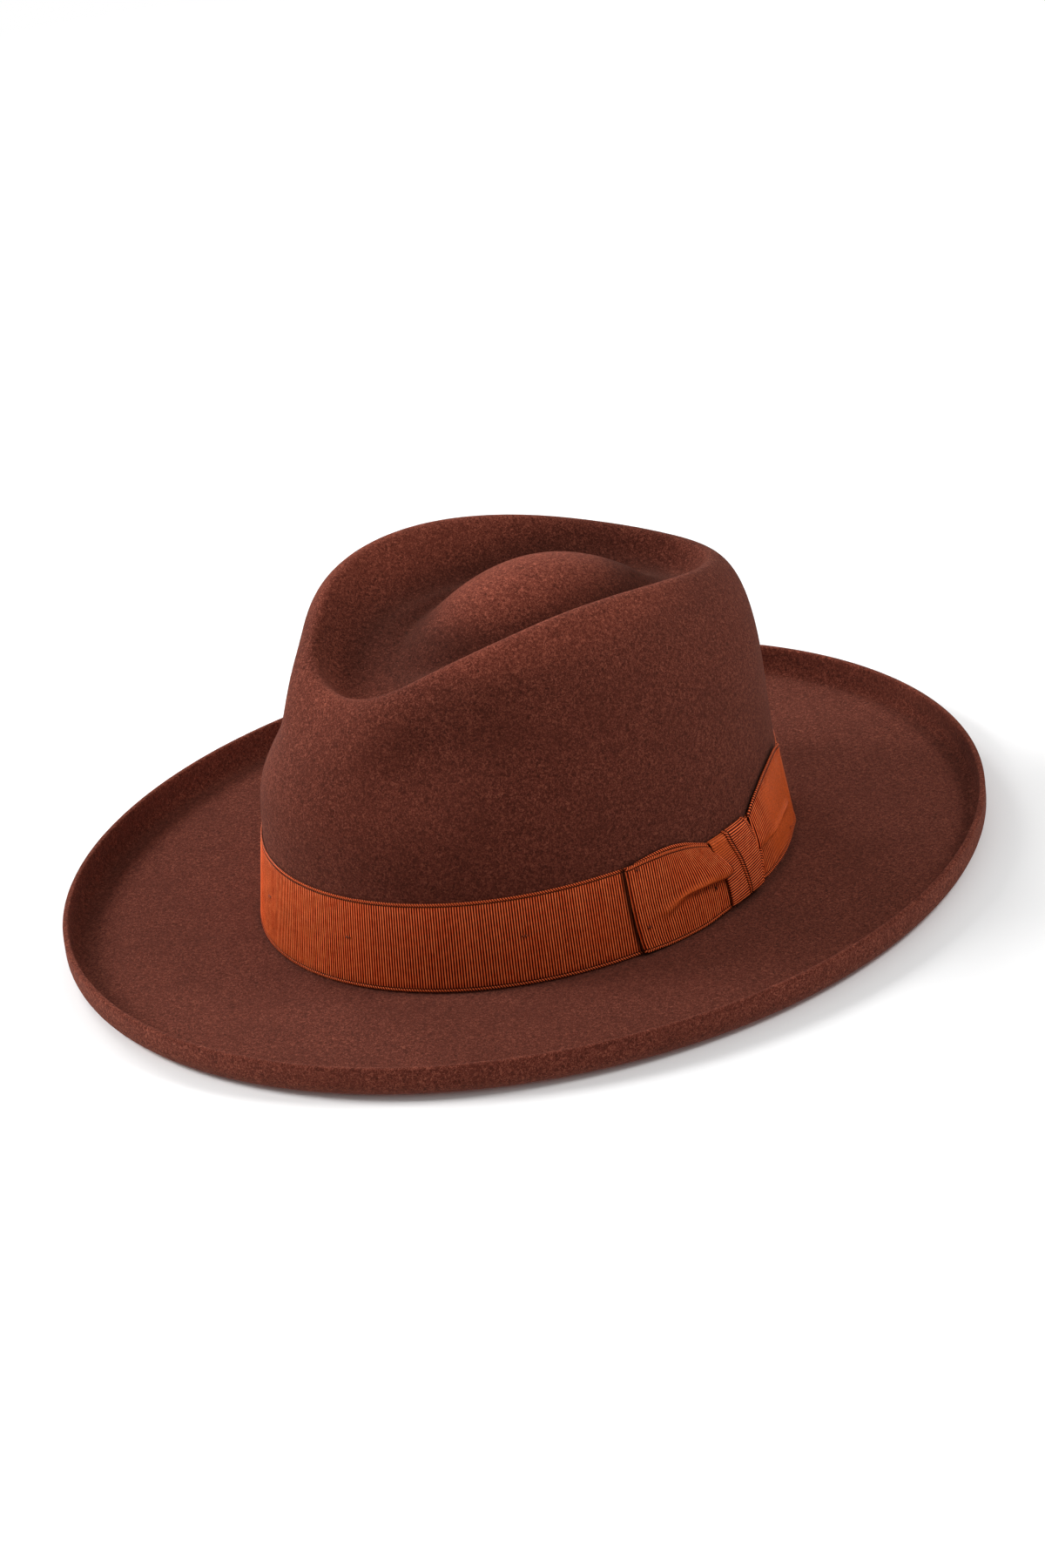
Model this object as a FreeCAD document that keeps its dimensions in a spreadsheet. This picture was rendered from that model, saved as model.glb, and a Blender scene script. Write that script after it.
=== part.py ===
import FreeCAD, Part
import math
import os
import Sketcher

# Wide-brim felt hat (teardrop crown, pencil-curl brim), millimetres.
# Frame: +X is the wearer's left (bow side), -Y is the front, +Z is up.
# Origin: centre of the head opening, on the flat underside of the brim.

os.makedirs("parts", exist_ok=True)
Vector = FreeCAD.Vector
doc = FreeCAD.newDocument("FeltHat")
sheet = doc.addObject("Spreadsheet::Sheet", "Sizes")

# Driving dimensions: (alias, value). In an oval, a is the half-axis along X and b along Y;
# a shift moves it towards the back. Skew, taper, tilt, saddle and the like scale the
# harmonics of a ring around the crown.
CELLS = [
    # crown wall under the ribbon: an ellipse that shrinks steadily with height
    ("wall_low_z", 3.0), ("wall_low_a", 87.0), ("wall_low_b", 103.1),
    ("wall_high_z", 36.0), ("wall_high_a", 82.34), ("wall_high_b", 99.37),
    ("wall_high_shift", 0.4),
    ("felt_thick", 2.0), ("brim_thick", 2.3), ("break_radius", 2.2), ("break_outer", 0.65),
    # crown above the ribbon
    ("waist_a", 78.27), ("waist_b", 98.32), ("waist_shift", 0.78), ("waist_skew", -0.51),
    ("waist_z", 62.0),
    ("upper_a", 71.31), ("upper_b", 95.0), ("upper_shift", 3.6), ("upper_skew", -2.2),
    ("upper_share", 0.76),
    ("crest_half_width", 50.43), ("crest_taper", 3.45), ("crest_square", -0.68),
    ("crest_shift", 6.4), ("crest_half_length", 82.3), ("crest_skew", -2.0),
    ("crest_trim", -2.02),
    ("crest_height", 110.98), ("crest_tilt", 1.52), ("crest_saddle", -11.49),
    ("crest_wave", -2.08), ("crest_ripple", 0.23),
    ("shoulder_out", 8.45), ("shoulder_in", 6.47), ("shoulder_drop", 6.5),
    ("trough_in", 19.34), ("trough_depth", 12.01), ("trough_tilt", 0.1),
    ("trough_saddle", -6.19),
    ("dome_y", 12.3), ("dome_top", 119.8), ("dome_a", 16.4), ("dome_b", 27.2),
    ("dome_shift", 0.0), ("dome_drop", 6.0), ("dome_tilt", 0.0),
    # front pinch: depth in millimetres, angle and spread in radians from the front
    ("pinch_depth", 5.65), ("pinch_angle", 0.718), ("pinch_spread", 0.282),
    # brim
    ("brim_a", 155.3), ("brim_b", 176.8), ("curl_radius", 6.5), ("lip_height", 12.5),
    # ribbon band and bow: offsets are measured out from the crown wall
    ("band_in", 0.08), ("band_out", 0.62), ("band_low", 3.0), ("band_high", 36.0),
    ("fold_in", 0.72), ("fold_out", 1.3), ("wing_in", 1.4), ("wing_out", 2.0),
    ("bow_high", 41.6), ("knot_in", 2.1), ("knot_out", 2.9),
    ("tack_radius", 0.28), ("tack_length", 2.2), ("tack_gap", 0.12), ("band_tack_z", 21.0),
    # sweatband and its seam
    ("leather_low_a", 83.0), ("leather_low_b", 99.1), ("leather_low_z", 1.6),
    ("leather_high_a", 76.9), ("leather_high_b", 93.6), ("leather_high_z", 46.6),
    ("leather_thick", 0.9),
    ("reed_a", 84.0), ("reed_b", 100.1), ("reed_z", 2.5), ("reed_radius", 0.5),
    ("welt_in", 0.57), ("welt_out", 0.82),
    ("seam_stitch_radius", 0.18), ("seam_stitch_length", 1.5), ("seam_stitch_z", 1.25),
    ("seam_width", 7.0), ("seam_low", 4.0), ("seam_high", 44.0), ("seam_thick", 0.3),
    ("seam_length", "=seam_high - seam_low"), ("seam_gap", 0.12),
    # small bow and label on the sweatband
    ("tape_loop_width", 13.0), ("tape_loop_height", 7.5), ("tape_thick", 0.8),
    ("tape_knot_width", 4.0), ("tape_knot_height", 6.0), ("tape_knot_thick", 1.2),
    ("tape_z", 9.0), ("tape_gap", 0.25), ("tape_loop_gap", 0.15),
    ("label_width", 16.0), ("label_height", 20.0), ("label_thick", 0.2),
    ("label_z", 24.0), ("label_angle", 150.0), ("label_gap", 0.25),
    # lining: tip and piping insets are measured from the inside of the side band
    ("lining_gap", 0.45), ("lining_thick", 0.3), ("lining_low_z", 26.0),
    ("tip_middle_z", 87.0), ("tip_inset", 1.6),
    ("piping_radius", 0.6), ("piping_inset", 0.85), ("piping_lift", 0.15),
]
for row, (alias, value) in enumerate(CELLS, start=1):
    sheet.set(f"A{row}", alias)
    sheet.set(f"B{row}", str(value))
    sheet.setAlias(f"B{row}", alias)
doc.recompute()

EXPORTS = []


def size(alias):
    return float(getattr(sheet, alias))


def keep(obj, label):
    """Label an object and list it for export."""
    obj.Label = label
    EXPORTS.append(obj)
    return obj


# ---------------------------------------------------------------- points and ovals
# A ring is a list of points, one per column. Angle 0 is the front, 90 degrees the wearer's left.
COLUMNS = 48
ANGLES = [2 * math.pi * i / COLUMNS for i in range(COLUMNS)]


def add(p, q, k=1.0):
    return (p[0] + q[0] * k, p[1] + q[1] * k, p[2] + q[2] * k)


def unit(p):
    length = math.sqrt(p[0] ** 2 + p[1] ** 2 + p[2] ** 2)
    return (p[0] / length, p[1] / length, p[2] / length)


def cross(p, q):
    return (p[1] * q[2] - p[2] * q[1], p[2] * q[0] - p[0] * q[2], p[0] * q[1] - p[1] * q[0])


def plan_normal(a, b, angle):
    """Outward normal of an oval, in plan."""
    return unit((b * math.sin(angle), -a * math.cos(angle), 0.0))


def oval_point(a, b, shift, z, by, angle):
    """Point of an oval, moved out by a distance along the plan normal."""
    point = (a * math.sin(angle), shift - b * math.cos(angle), z)
    return add(point, plan_normal(a, b, angle), by)


def oval_ring(a, b, shift, z, by):
    return [oval_point(a, b, shift, z, by, angle) for angle in ANGLES]


def wall_oval(z):
    """Half-axes and shift of the crown wall at a height."""
    low_a, low_b, low_z = size("wall_low_a"), size("wall_low_b"), size("wall_low_z")
    k = (z - low_z) / (size("wall_high_z") - low_z)
    return (low_a + (size("wall_high_a") - low_a) * k,
            low_b + (size("wall_high_b") - low_b) * k,
            size("wall_high_shift") * k)


def wall_ring(z, by):
    return oval_ring(*wall_oval(z), z, by)


# ---------------------------------------------------------------- crown shape
def control_column(angle):
    """Ten points up one column of the crown: wall, shoulder, crest, trough and dome top."""
    sin1, sin2, sin3 = [math.sin(n * angle) for n in (1, 2, 3)]
    cos1, cos2, cos3, cos4 = [math.cos(n * angle) for n in (1, 2, 3, 4)]
    from_front = abs((angle + math.pi) % (2 * math.pi) - math.pi)
    off_pinch = (from_front - size("pinch_angle")) / size("pinch_spread")
    pinch = math.exp(-off_pinch ** 2) * size("pinch_depth")
    wall_out = plan_normal(size("wall_low_a"), size("wall_low_b"), angle)

    width, taper, square = size("crest_half_width"), size("crest_taper"), size("crest_square")
    length, skew, trim = size("crest_half_length"), size("crest_skew"), size("crest_trim")
    shift = size("crest_shift")
    crest_z = (size("crest_height") + size("crest_tilt") * cos1 + size("crest_saddle") * cos2
               + size("crest_wave") * cos3 + size("crest_ripple") * cos4)
    crest = (width * sin1 + taper * sin2 + square * sin3,
             shift - length * cos1 - skew * cos2 - trim * cos3,
             crest_z)
    # the crest line's plan normal comes from its derivative, turned to point outwards
    dx = width * cos1 + 2 * taper * cos2 + 3 * square * cos3
    dy = length * sin1 + 2 * skew * sin2 + 3 * trim * sin3
    out = unit((dy, -dx, 0.0))
    if out[0] * crest[0] + out[1] * (crest[1] - shift) < 0:
        out = (-out[0], -out[1], 0.0)

    wall_low = (size("wall_low_a") * sin1, -size("wall_low_b") * cos1, size("wall_low_z"))
    wall_high = (size("wall_high_a") * sin1,
                 size("wall_high_shift") - size("wall_high_b") * cos1,
                 size("wall_high_z"))
    waist = (size("waist_a") * sin1 + size("waist_skew") * sin2,
             size("waist_shift") - size("waist_b") * cos1,
             size("waist_z"))
    upper = (size("upper_a") * sin1 + size("upper_skew") * sin2,
             size("upper_shift") - size("upper_b") * cos1,
             size("upper_share") * crest_z)
    drop = (0, 0, -size("shoulder_drop"))
    shoulder_out = add(add(crest, out, size("shoulder_out")), drop)
    shoulder_in = add(add(crest, out, -size("shoulder_in")), drop)
    trough = add(crest, out, -size("trough_in"))
    trough_depth = (size("trough_depth") + size("trough_tilt") * cos1
                    + size("trough_saddle") * cos2)
    dome = (size("dome_a") * sin1,
            size("dome_y") + size("dome_shift") - size("dome_b") * cos1,
            size("dome_top") - size("dome_drop") - size("dome_tilt") * cos1)
    return [
        wall_low,
        wall_high,
        add(waist, wall_out, -0.35 * pinch),           # the pinch fades away from the upper ring
        add(upper, wall_out, -pinch),
        add(shoulder_out, wall_out, -0.7 * pinch),
        add(crest, wall_out, -0.45 * pinch),
        add(shoulder_in, wall_out, -0.25 * pinch),
        (trough[0], trough[1], crest_z - trough_depth),
        dome,
        (0.0, size("dome_y"), size("dome_top")),
    ]


def natural_spline(knots, points, wanted):
    """Natural cubic spline through points at the knots, evaluated at each wanted parameter."""
    count = len(knots)
    spans = [knots[i + 1] - knots[i] for i in range(count - 1)]
    curve = [[] for _ in wanted]
    for axis in range(3):
        y = [p[axis] for p in points]
        # forward sweep, then back substitution, for the second derivatives
        ratio, rest = [0.0] * count, [0.0] * count
        for i in range(1, count - 1):
            before, after = spans[i - 1], spans[i]
            turn = 6 * ((y[i + 1] - y[i]) / after - (y[i] - y[i - 1]) / before)
            pivot = 2 * (before + after) - before * ratio[i - 1]
            ratio[i] = after / pivot
            rest[i] = (turn - before * rest[i - 1]) / pivot
        bend = [0.0] * count
        for i in range(count - 2, 0, -1):
            bend[i] = rest[i] - ratio[i] * bend[i + 1]
        for point, place in zip(curve, wanted):
            k = 0
            while k < count - 2 and knots[k + 1] <= place + 1e-12:
                k += 1
            past, left, span = place - knots[k], knots[k + 1] - place, spans[k]
            point.append((bend[k] * left ** 3 + bend[k + 1] * past ** 3) / (6 * span)
                         + (y[k] / span - bend[k] * span / 6) * left
                         + (y[k + 1] / span - bend[k + 1] * span / 6) * past)
    return [tuple(p) for p in curve]


def crown_rings(stations):
    """Rings of the outer crown surface at control positions 0 (brim) to 9 (dome top)."""
    columns = [control_column(angle) for angle in ANGLES]
    rings = [[] for _ in stations]
    for i, column in enumerate(columns):
        # two points of the opposite column carry the spline smoothly over the dome top
        opposite = columns[(i + COLUMNS // 2) % COLUMNS]
        points = column + [opposite[8], opposite[7]]
        knots = [0.0]
        for p, q in zip(points[:-1], points[1:]):
            knots.append(knots[-1] + math.dist(q, p) ** 0.75)
        wanted = []
        for station in stations:
            k = int(station)
            wanted.append(knots[k] + (knots[k + 1] - knots[k]) * (station - k))
        for ring, p in zip(rings, natural_spline(knots, points, wanted)):
            ring.append(p)
    return rings


def level(ring):
    """Move a small ring onto the plane z = c + d*y that fits it best."""
    mean_y = sum(p[1] for p in ring) / len(ring)
    mean_z = sum(p[2] for p in ring) / len(ring)
    slope = (sum((p[1] - mean_y) * (p[2] - mean_z) for p in ring)
             / sum((p[1] - mean_y) ** 2 for p in ring))
    return [(p[0], p[1], mean_z + slope * (p[1] - mean_y)) for p in ring]


STATIONS = [1 + i / 4 for i in range(32)]              # top of the ribbon to just short of the top
SIDE_TOP = STATIONS.index(2.75)                        # ring where the lining's side band ends
crown_out = crown_rings(STATIONS)
crown_out[-1] = level(crown_out[-1])


def inset(j, depth):
    """Crown ring j (1 or more) moved into the crown by a depth along the surface normal."""
    below = crown_out[j - 1]
    above = crown_out[min(j + 1, len(crown_out) - 1)]
    ring = crown_out[j]
    moved = []
    for i in range(COLUMNS):
        upward = add(above[i], below[i], -1)
        around = add(ring[(i + 1) % COLUMNS], ring[i - 1], -1)
        moved.append(add(ring[i], unit(cross(around, upward)), -depth))
    return moved


# ---------------------------------------------------------------- skinned solids
def ring_wire(ring):
    curve = Part.BSplineCurve()
    curve.interpolate(Points=[Vector(*p) for p in ring], PeriodicFlag=True,
                      Parameters=[float(i) for i in range(COLUMNS + 1)])
    return Part.Wire([curve.toShape()])


def skin(rings, closed):
    """Solid skinned by straight rulings from ring to ring. A closed chain runs back to its
    first ring; an open one is closed by a flat cap at each end."""
    wires = [ring_wire(ring) for ring in rings]
    steps = list(zip(wires[:-1], wires[1:], rings[:-1], rings[1:]))
    if closed:
        steps.append((wires[-1], wires[0], rings[-1], rings[0]))
    faces = []
    for wire, next_wire, ring, next_ring in steps:
        heights = [p[2] for p in ring + next_ring]
        if max(heights) - min(heights) < 1e-9:         # a level step is a true plane with a hole
            pair = [wire, next_wire]
            pair.sort(key=lambda w: w.BoundBox.DiagonalLength, reverse=True)
            faces.append(Part.makeFace(pair, "Part::FaceMakerBullseye"))
        else:
            faces.append(Part.makeRuledSurface(wire.Edges[0], next_wire.Edges[0]))
    if not closed:
        faces += [Part.Face(wires[0]), Part.Face(wires[-1])]
    sewn = Part.makeCompound(faces)
    sewn.sewShape(1e-5)
    solid = Part.makeSolid(sewn.Shells[0])
    solid.fix(1e-6, 1e-6, 1e-6)
    if solid.Volume < 0:
        solid.reverse()
    return solid


def free_form(name, label, rings, closed):
    feature = doc.addObject("Part::Feature", name)
    feature.Shape = skin(rings, closed)
    keep(feature, label)


def felt_body():
    """Crown and brim, one piece of felt: down the outside, round the brim, up the inside."""
    felt, brim = size("felt_thick"), size("brim_thick")
    outer, inner = size("break_outer"), size("break_radius")
    curl, lip = size("curl_radius"), size("lip_height")
    wall_top = size("wall_high_z")

    def brim_ring(z, by):
        return oval_ring(size("brim_a"), size("brim_b"), 0, z, by)

    rings = crown_out[:0:-1]                           # dome cap down to just above the ribbon
    rings.append(wall_ring(wall_top, 0.0))
    for degrees in (0, 30, 60, 90):                    # break between crown and brim, outside
        a = math.radians(degrees)
        rings.append(wall_ring(brim + outer * (1 - math.sin(a)), outer * (1 - math.cos(a))))
    rings.append(brim_ring(brim, -curl))               # flat top of the brim out to the curl
    for degrees in (22.5, 45, 67.5, 90):               # inside of the curl
        a = math.radians(degrees)
        rings.append(brim_ring(curl - (curl - brim) * math.cos(a),
                               -curl + (curl - brim) * math.sin(a)))
    rings.append(brim_ring(lip, -brim))                # raw edge of the lip
    rings.append(brim_ring(lip, 0))
    for degrees in (90, 67.5, 45, 22.5, 0):            # outside of the curl
        a = math.radians(degrees)
        rings.append(brim_ring(curl - curl * math.cos(a), -curl + curl * math.sin(a)))
    for degrees in (90, 60, 30, 0):                    # break, inside edge of the head opening
        a = math.radians(degrees)
        rings.append(wall_ring(inner * (1 - math.sin(a)), -felt + inner * (1 - math.cos(a))))
    rings.append(wall_ring(wall_top, -felt))
    rings += [inset(j, felt) for j in range(1, len(crown_out))]
    rings[-1] = level(rings[-1])
    free_form("FeltBody", "felt_body", rings, closed=False)


# ---------------------------------------------------------------- lining
def lining_side():
    """Side band of the lining, against the inside of the crown."""
    def layer(depth):
        return ([wall_ring(z, -depth) for z in (size("lining_low_z"), size("wall_high_z"))]
                + [inset(j, depth) for j in range(1, SIDE_TOP + 1)])

    depth = size("felt_thick") + size("lining_gap")
    outside = layer(depth)
    inside = layer(depth + size("lining_thick"))
    free_form("LiningSide", "lining_side", outside + inside[::-1], closed=True)


def lining_edge(depth):
    """Ring at the side band's top edge, a depth in from the band's inside face."""
    band = size("felt_thick") + size("lining_gap") + size("lining_thick")
    return inset(SIDE_TOP, band + depth)


def lining_tip():
    """Oval tip of the lining, rising from its rim to a small flat cap in the middle."""
    rim = lining_edge(size("tip_inset"))
    middle_y, middle_z = size("crest_shift"), size("tip_middle_z")
    low = []
    for share in (0.0, 0.12, 0.25, 0.4, 0.55, 0.7, 0.85, 0.95):    # rim 0, middle 1
        rise = share * share * (3 - 2 * share)
        low.append([(x * (1 - share),
                     middle_y + (y - middle_y) * (1 - share),
                     z + (middle_z - z) * rise) for x, y, z in rim])
    low[-1] = level(low[-1])
    high = [[(x, y, z + size("lining_thick")) for x, y, z in ring] for ring in low]
    free_form("LiningTip", "lining_tip", low[::-1] + high, closed=False)


def lining_piping():
    """Piping between the side band and the tip: an eight-sided, slightly flattened tube."""
    path = lining_edge(size("piping_inset"))
    half_height = size("piping_radius") * 0.75
    half_width = half_height * 0.9
    tube = []
    for degrees in range(0, 360, 45):
        a = math.radians(degrees)
        ring = []
        for p, angle in zip(path, ANGLES):
            out = plan_normal(size("wall_low_a"), size("wall_low_b"), angle)
            x, y, z = add(p, out, half_width * math.cos(a))
            ring.append((x, y, z + size("piping_lift") + half_height * math.sin(a)))
        tube.append(ring)
    free_form("LiningPiping", "lining_piping", tube, closed=True)


felt_body()
lining_side()
lining_tip()
lining_piping()
doc.recompute()


# ---------------------------------------------------------------- bodies built from sketches
def new_body(name, label):
    return keep(doc.addObject("PartDesign::Body", name), label)


def new_sketch(body, role, name, height=None):
    """Sketch on one of the body's origin planes, raised by a height expression."""
    sk = body.newObject("Sketcher::SketchObject", name)
    plane = next(f for f in body.Origin.OriginFeatures if f.Role == role)
    sk.AttachmentSupport = [(plane, "")]
    sk.MapMode = "FlatFace"
    if height is not None:
        sk.setExpression("AttachmentOffset.Base.z", height)
    return sk


def constrain(sk, *constraint):
    return sk.addConstraint(Sketcher.Constraint(*constraint))


def bind(sk, expression, *constraint):
    """Add a dimension and drive it by an expression."""
    index = constrain(sk, *constraint)
    sk.setExpression(f"Constraints[{index}]", expression)


def draw_ellipse(sk, a, b, shift=None):
    """Ellipse with half-axis b along sketch Y and a along X, bound to expressions."""
    start_a, start_b = 80, 100                         # drawn size before the expressions act
    curve = sk.addGeometry(
        Part.Ellipse(Vector(0, start_b, 0), Vector(start_a, 0, 0), Vector(0, 0, 0)), False)
    sk.exposeInternalGeometry(curve)
    long_axis, short_axis = curve + 1, curve + 2
    constrain(sk, "Vertical", long_axis)
    constrain(sk, "PointOnObject", curve, 3, -2)
    bind(sk, f"2 * ({b})", "Distance", long_axis, 2.0 * start_b)
    bind(sk, f"2 * ({a})", "Distance", short_axis, 2.0 * start_a)
    if shift is None:
        constrain(sk, "PointOnObject", curve, 3, -1)
    else:
        bind(sk, shift, "DistanceY", -1, 1, curve, 3, 0.5)


def draw_polygon(sk, points):
    lines = []
    for (x0, y0), (x1, y1) in zip(points, points[1:] + points[:1]):
        lines.append(sk.addGeometry(Part.LineSegment(Vector(x0, y0, 0), Vector(x1, y1, 0)), False))
    for line, following in zip(lines, lines[1:] + lines[:1]):
        constrain(sk, "Coincident", line, 2, following, 1)


def ring_body(name, label, low, high, thick):
    """Oval ring with a sloping wall: outside loft, then the inside lofted away.
    low and high are the outer ovals, as expressions (a, b, z, shift)."""
    def thinned(oval):
        a, b, z, shift = oval
        return (f"({a}) - ({thick})", f"({b}) - ({thick})", z, shift)

    body = new_body(name, label)
    for kind, side, ovals in (("Additive", "Out", (low, high)),
                              ("Subtractive", "In", (thinned(low), thinned(high)))):
        sketches = []
        for end, (a, b, z, shift) in zip(("Low", "High"), ovals):
            sk = new_sketch(body, "XY_Plane", name + side + end, z)
            draw_ellipse(sk, a, b, shift)
            sketches.append(sk)
        doc.recompute()
        loft = body.newObject(f"PartDesign::{kind}Loft", f"{name}{side}side")
        loft.Profile = sketches[0]
        loft.Sections = [sketches[1]]
        loft.Ruled = True
        doc.recompute()
        body.Tip = loft
        for sk in sketches:
            sk.Visibility = False
    return body


def wall_expressions(z, out):
    """The crown wall's oval at height z, moved out, as expressions (a, b, z, shift)."""
    share = f"(({z}) - (Sizes.wall_low_z)) / ((Sizes.wall_high_z) - (Sizes.wall_low_z))"

    def axis(letter):
        low, high = f"Sizes.wall_low_{letter}", f"Sizes.wall_high_{letter}"
        return f"({low} + ({high} - {low}) * {share}) + {out}"

    return (axis("a"), axis("b"), z, f"Sizes.wall_high_shift * {share}")


def wall_layer(name, label, layer, top):
    """Ring of ribbon round the crown wall; layer names its pair of offsets, top its height."""
    out = f"Sizes.{layer}_out"
    return ring_body(name, label,
                     wall_expressions("Sizes.band_low", out),
                     wall_expressions(f"Sizes.{top}", out),
                     f"{out} - Sizes.{layer}_in")


def cut_through(body, name, sk):
    pocket = body.newObject("PartDesign::Pocket", name)
    pocket.Profile = sk
    pocket.Type = "ThroughAll"
    pocket.Midplane = True
    doc.recompute()
    body.Tip = pocket
    sk.Visibility = False


FAR = 400                                              # reaches well past the hat


def trim_to(body, name, outline):
    """Keep the part of a ring on the bow side whose side view lies inside the outline."""
    side_view = new_sketch(body, "YZ_Plane", name + "Outline")
    draw_polygon(side_view, outline)
    draw_polygon(side_view, [(-FAR, -FAR), (FAR, -FAR), (FAR, FAR), (-FAR, FAR)])
    doc.recompute()
    cut_through(body, name + "Trim", side_view)
    edge_x = 20
    half = new_sketch(body, "XY_Plane", name + "Half")
    draw_polygon(half, [(-FAR, -FAR), (edge_x, -FAR), (edge_x, FAR), (-FAR, FAR)])
    doc.recompute()
    cut_through(body, name + "OneSide", half)


# Bow pieces: name, label, layer, top of the uncut ring, side-view outline as (y, z)
BOW = [
    ("BowFrontFold", "bow_front_fold", "fold", "band_high",
     [(-10.5, 3.2), (8.0, 3.2), (29.2, 4.4), (31.2, 14.6), (30.4, 22.0),
      (22.0, 29.0), (12.0, 33.0), (0.0, 34.5), (-10.5, 35.0)]),
    ("BowFrontWing", "bow_front_wing", "wing", "band_high",
     [(-12.5, 3.2), (5.1, 4.0), (6.5, 15.5), (16.0, 18.6), (30.4, 16.4),
      (31.6, 19.4), (22.4, 30.2), (12.5, 34.4), (0.2, 35.4), (-14.0, 35.8)]),
    ("BowKnot", "bow_knot", "knot", "band_high",
     [(29.2, 3.4), (40.0, 4.6), (50.0, 4.2), (51.9, 16.5),
      (46.6, 29.6), (32.4, 30.4), (24.0, 29.8), (27.6, 15.0)]),
    ("BowBackFold", "bow_back_fold", "fold", "band_high",
     [(45.0, 4.4), (52.0, 3.9), (66.0, 3.8), (75.0, 4.6), (79.2, 5.6),
      (79.4, 14.0), (79.4, 30.0), (64.0, 29.0), (46.0, 22.0)]),
    ("BowBackWing", "bow_back_wing", "wing", "bow_high",
     [(46.0, 20.0), (54.0, 18.6), (66.0, 16.0), (80.0, 15.0), (80.8, 38.9), (77.7, 40.4),
      (68.2, 41.0), (60.9, 39.4), (54.4, 37.1), (48.6, 34.3), (46.4, 31.4)]),
]

wall_layer("RibbonBand", "ribbon_band", "band", "band_high")
for name, label, layer, top, outline in BOW:
    trim_to(wall_layer(name, label, layer, top), name, outline)


# ---------------------------------------------------------------- threads
def stitch_group(name, label, kind, places):
    """Separate short rods of thread in one compound. Each place is (centre, direction);
    kind names the radius and length."""
    rods = []
    for i, (centre, direction) in enumerate(places, start=1):
        rod = doc.addObject("Part::Cylinder", f"{name}{i:02d}")
        rod.setExpression("Radius", f"Sizes.{kind}_radius")
        rod.setExpression("Height", f"Sizes.{kind}_length")
        turn = FreeCAD.Rotation(Vector(0, 0, 1), Vector(*direction))
        half = turn.multVec(Vector(0, 0, size(f"{kind}_length") / 2.0))
        rod.Placement = FreeCAD.Placement(Vector(*centre) - half, turn)
        rods.append(rod)
    group = doc.addObject("Part::Compound", name)
    group.Links = rods
    keep(group, label)


def tack(degrees, z, layer, upright=False):
    """Place of a tack stitch just off a ribbon layer, along the wall or upright."""
    angle = math.radians(degrees)
    a, b, shift = wall_oval(z)
    off = size(f"{layer}_out") + size("tack_radius") + size("tack_gap")
    normal = plan_normal(a, b, angle)
    along = (-normal[1], normal[0], 0.0)
    return oval_point(a, b, shift, z, off, angle), (0.0, 0.0, 1.0) if upright else along


def seam_stitch(angle):
    a, b = size("reed_a"), size("reed_b")
    return (oval_point(a, b, 0, size("seam_stitch_z"), 0, angle), plan_normal(a, b, angle))


stitch_group("BowTacks", "bow_tack_stitches", "tack", [
    tack(84.0, 32.0, "wing"),
    tack(84.0, 8.5, "wing"),
    tack(101.0, 11.0, "fold", upright=True),
    tack(137.0, 9.5, "fold"),
])
BAND_TACK_DEGREES = (18.0, 58.8, 180.0, 212.0, 246.0, 282.0, 318.0, 346.0)
stitch_group("BandTacks", "band_tack_stitches", "tack",
             [tack(degrees, size("band_tack_z"), "band") for degrees in BAND_TACK_DEGREES])


# ---------------------------------------------------------------- sweatband, reed and welt
def cord(name, label, radii):
    """Round cord along the reed's oval path; a second radius hollows it into a tube."""
    body = new_body(name, label)
    for step, (kind, radius) in enumerate(zip(("Additive", "Subtractive"), radii)):
        path = new_sketch(body, "XY_Plane", f"{name}Path{step}", "Sizes.reed_z")
        draw_ellipse(path, "Sizes.reed_a", "Sizes.reed_b")
        profile = new_sketch(body, "XZ_Plane", f"{name}Profile{step}")
        x, z, start_radius = size("reed_a"), size("reed_z"), size("reed_radius")
        profile.addGeometry(Part.Circle(Vector(x, z, 0), Vector(0, 0, 1), start_radius), False)
        bind(profile, f"Sizes.{radius}", "Radius", 0, start_radius)
        bind(profile, "Sizes.reed_a", "DistanceX", -1, 1, 0, 3, x)
        bind(profile, "Sizes.reed_z", "DistanceY", -1, 1, 0, 3, z)
        doc.recompute()
        pipe = body.newObject(f"PartDesign::{kind}Pipe", f"{name}Sweep{step}")
        pipe.Profile = profile
        pipe.Spine = (path, ["Edge1"])
        pipe.Mode = "Frenet"
        doc.recompute()
        body.Tip = pipe
        profile.Visibility = path.Visibility = False


def leather_expressions(end):
    return tuple(f"Sizes.leather_{end}_{axis}" for axis in "abz") + (None,)


ring_body("Sweatband", "sweatband", leather_expressions("low"), leather_expressions("high"),
          "Sizes.leather_thick")
cord("Reed", "sweatband_reed", ["reed_radius"])
cord("Welt", "sweatband_welt", ["welt_out", "welt_in"])

SEAM_STITCHES = 72
stitch_group("SeamStitches", "sweatband_stitching", "seam_stitch",
             [seam_stitch(2 * math.pi * (i + 0.5) / SEAM_STITCHES) for i in range(SEAM_STITCHES)])


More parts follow.
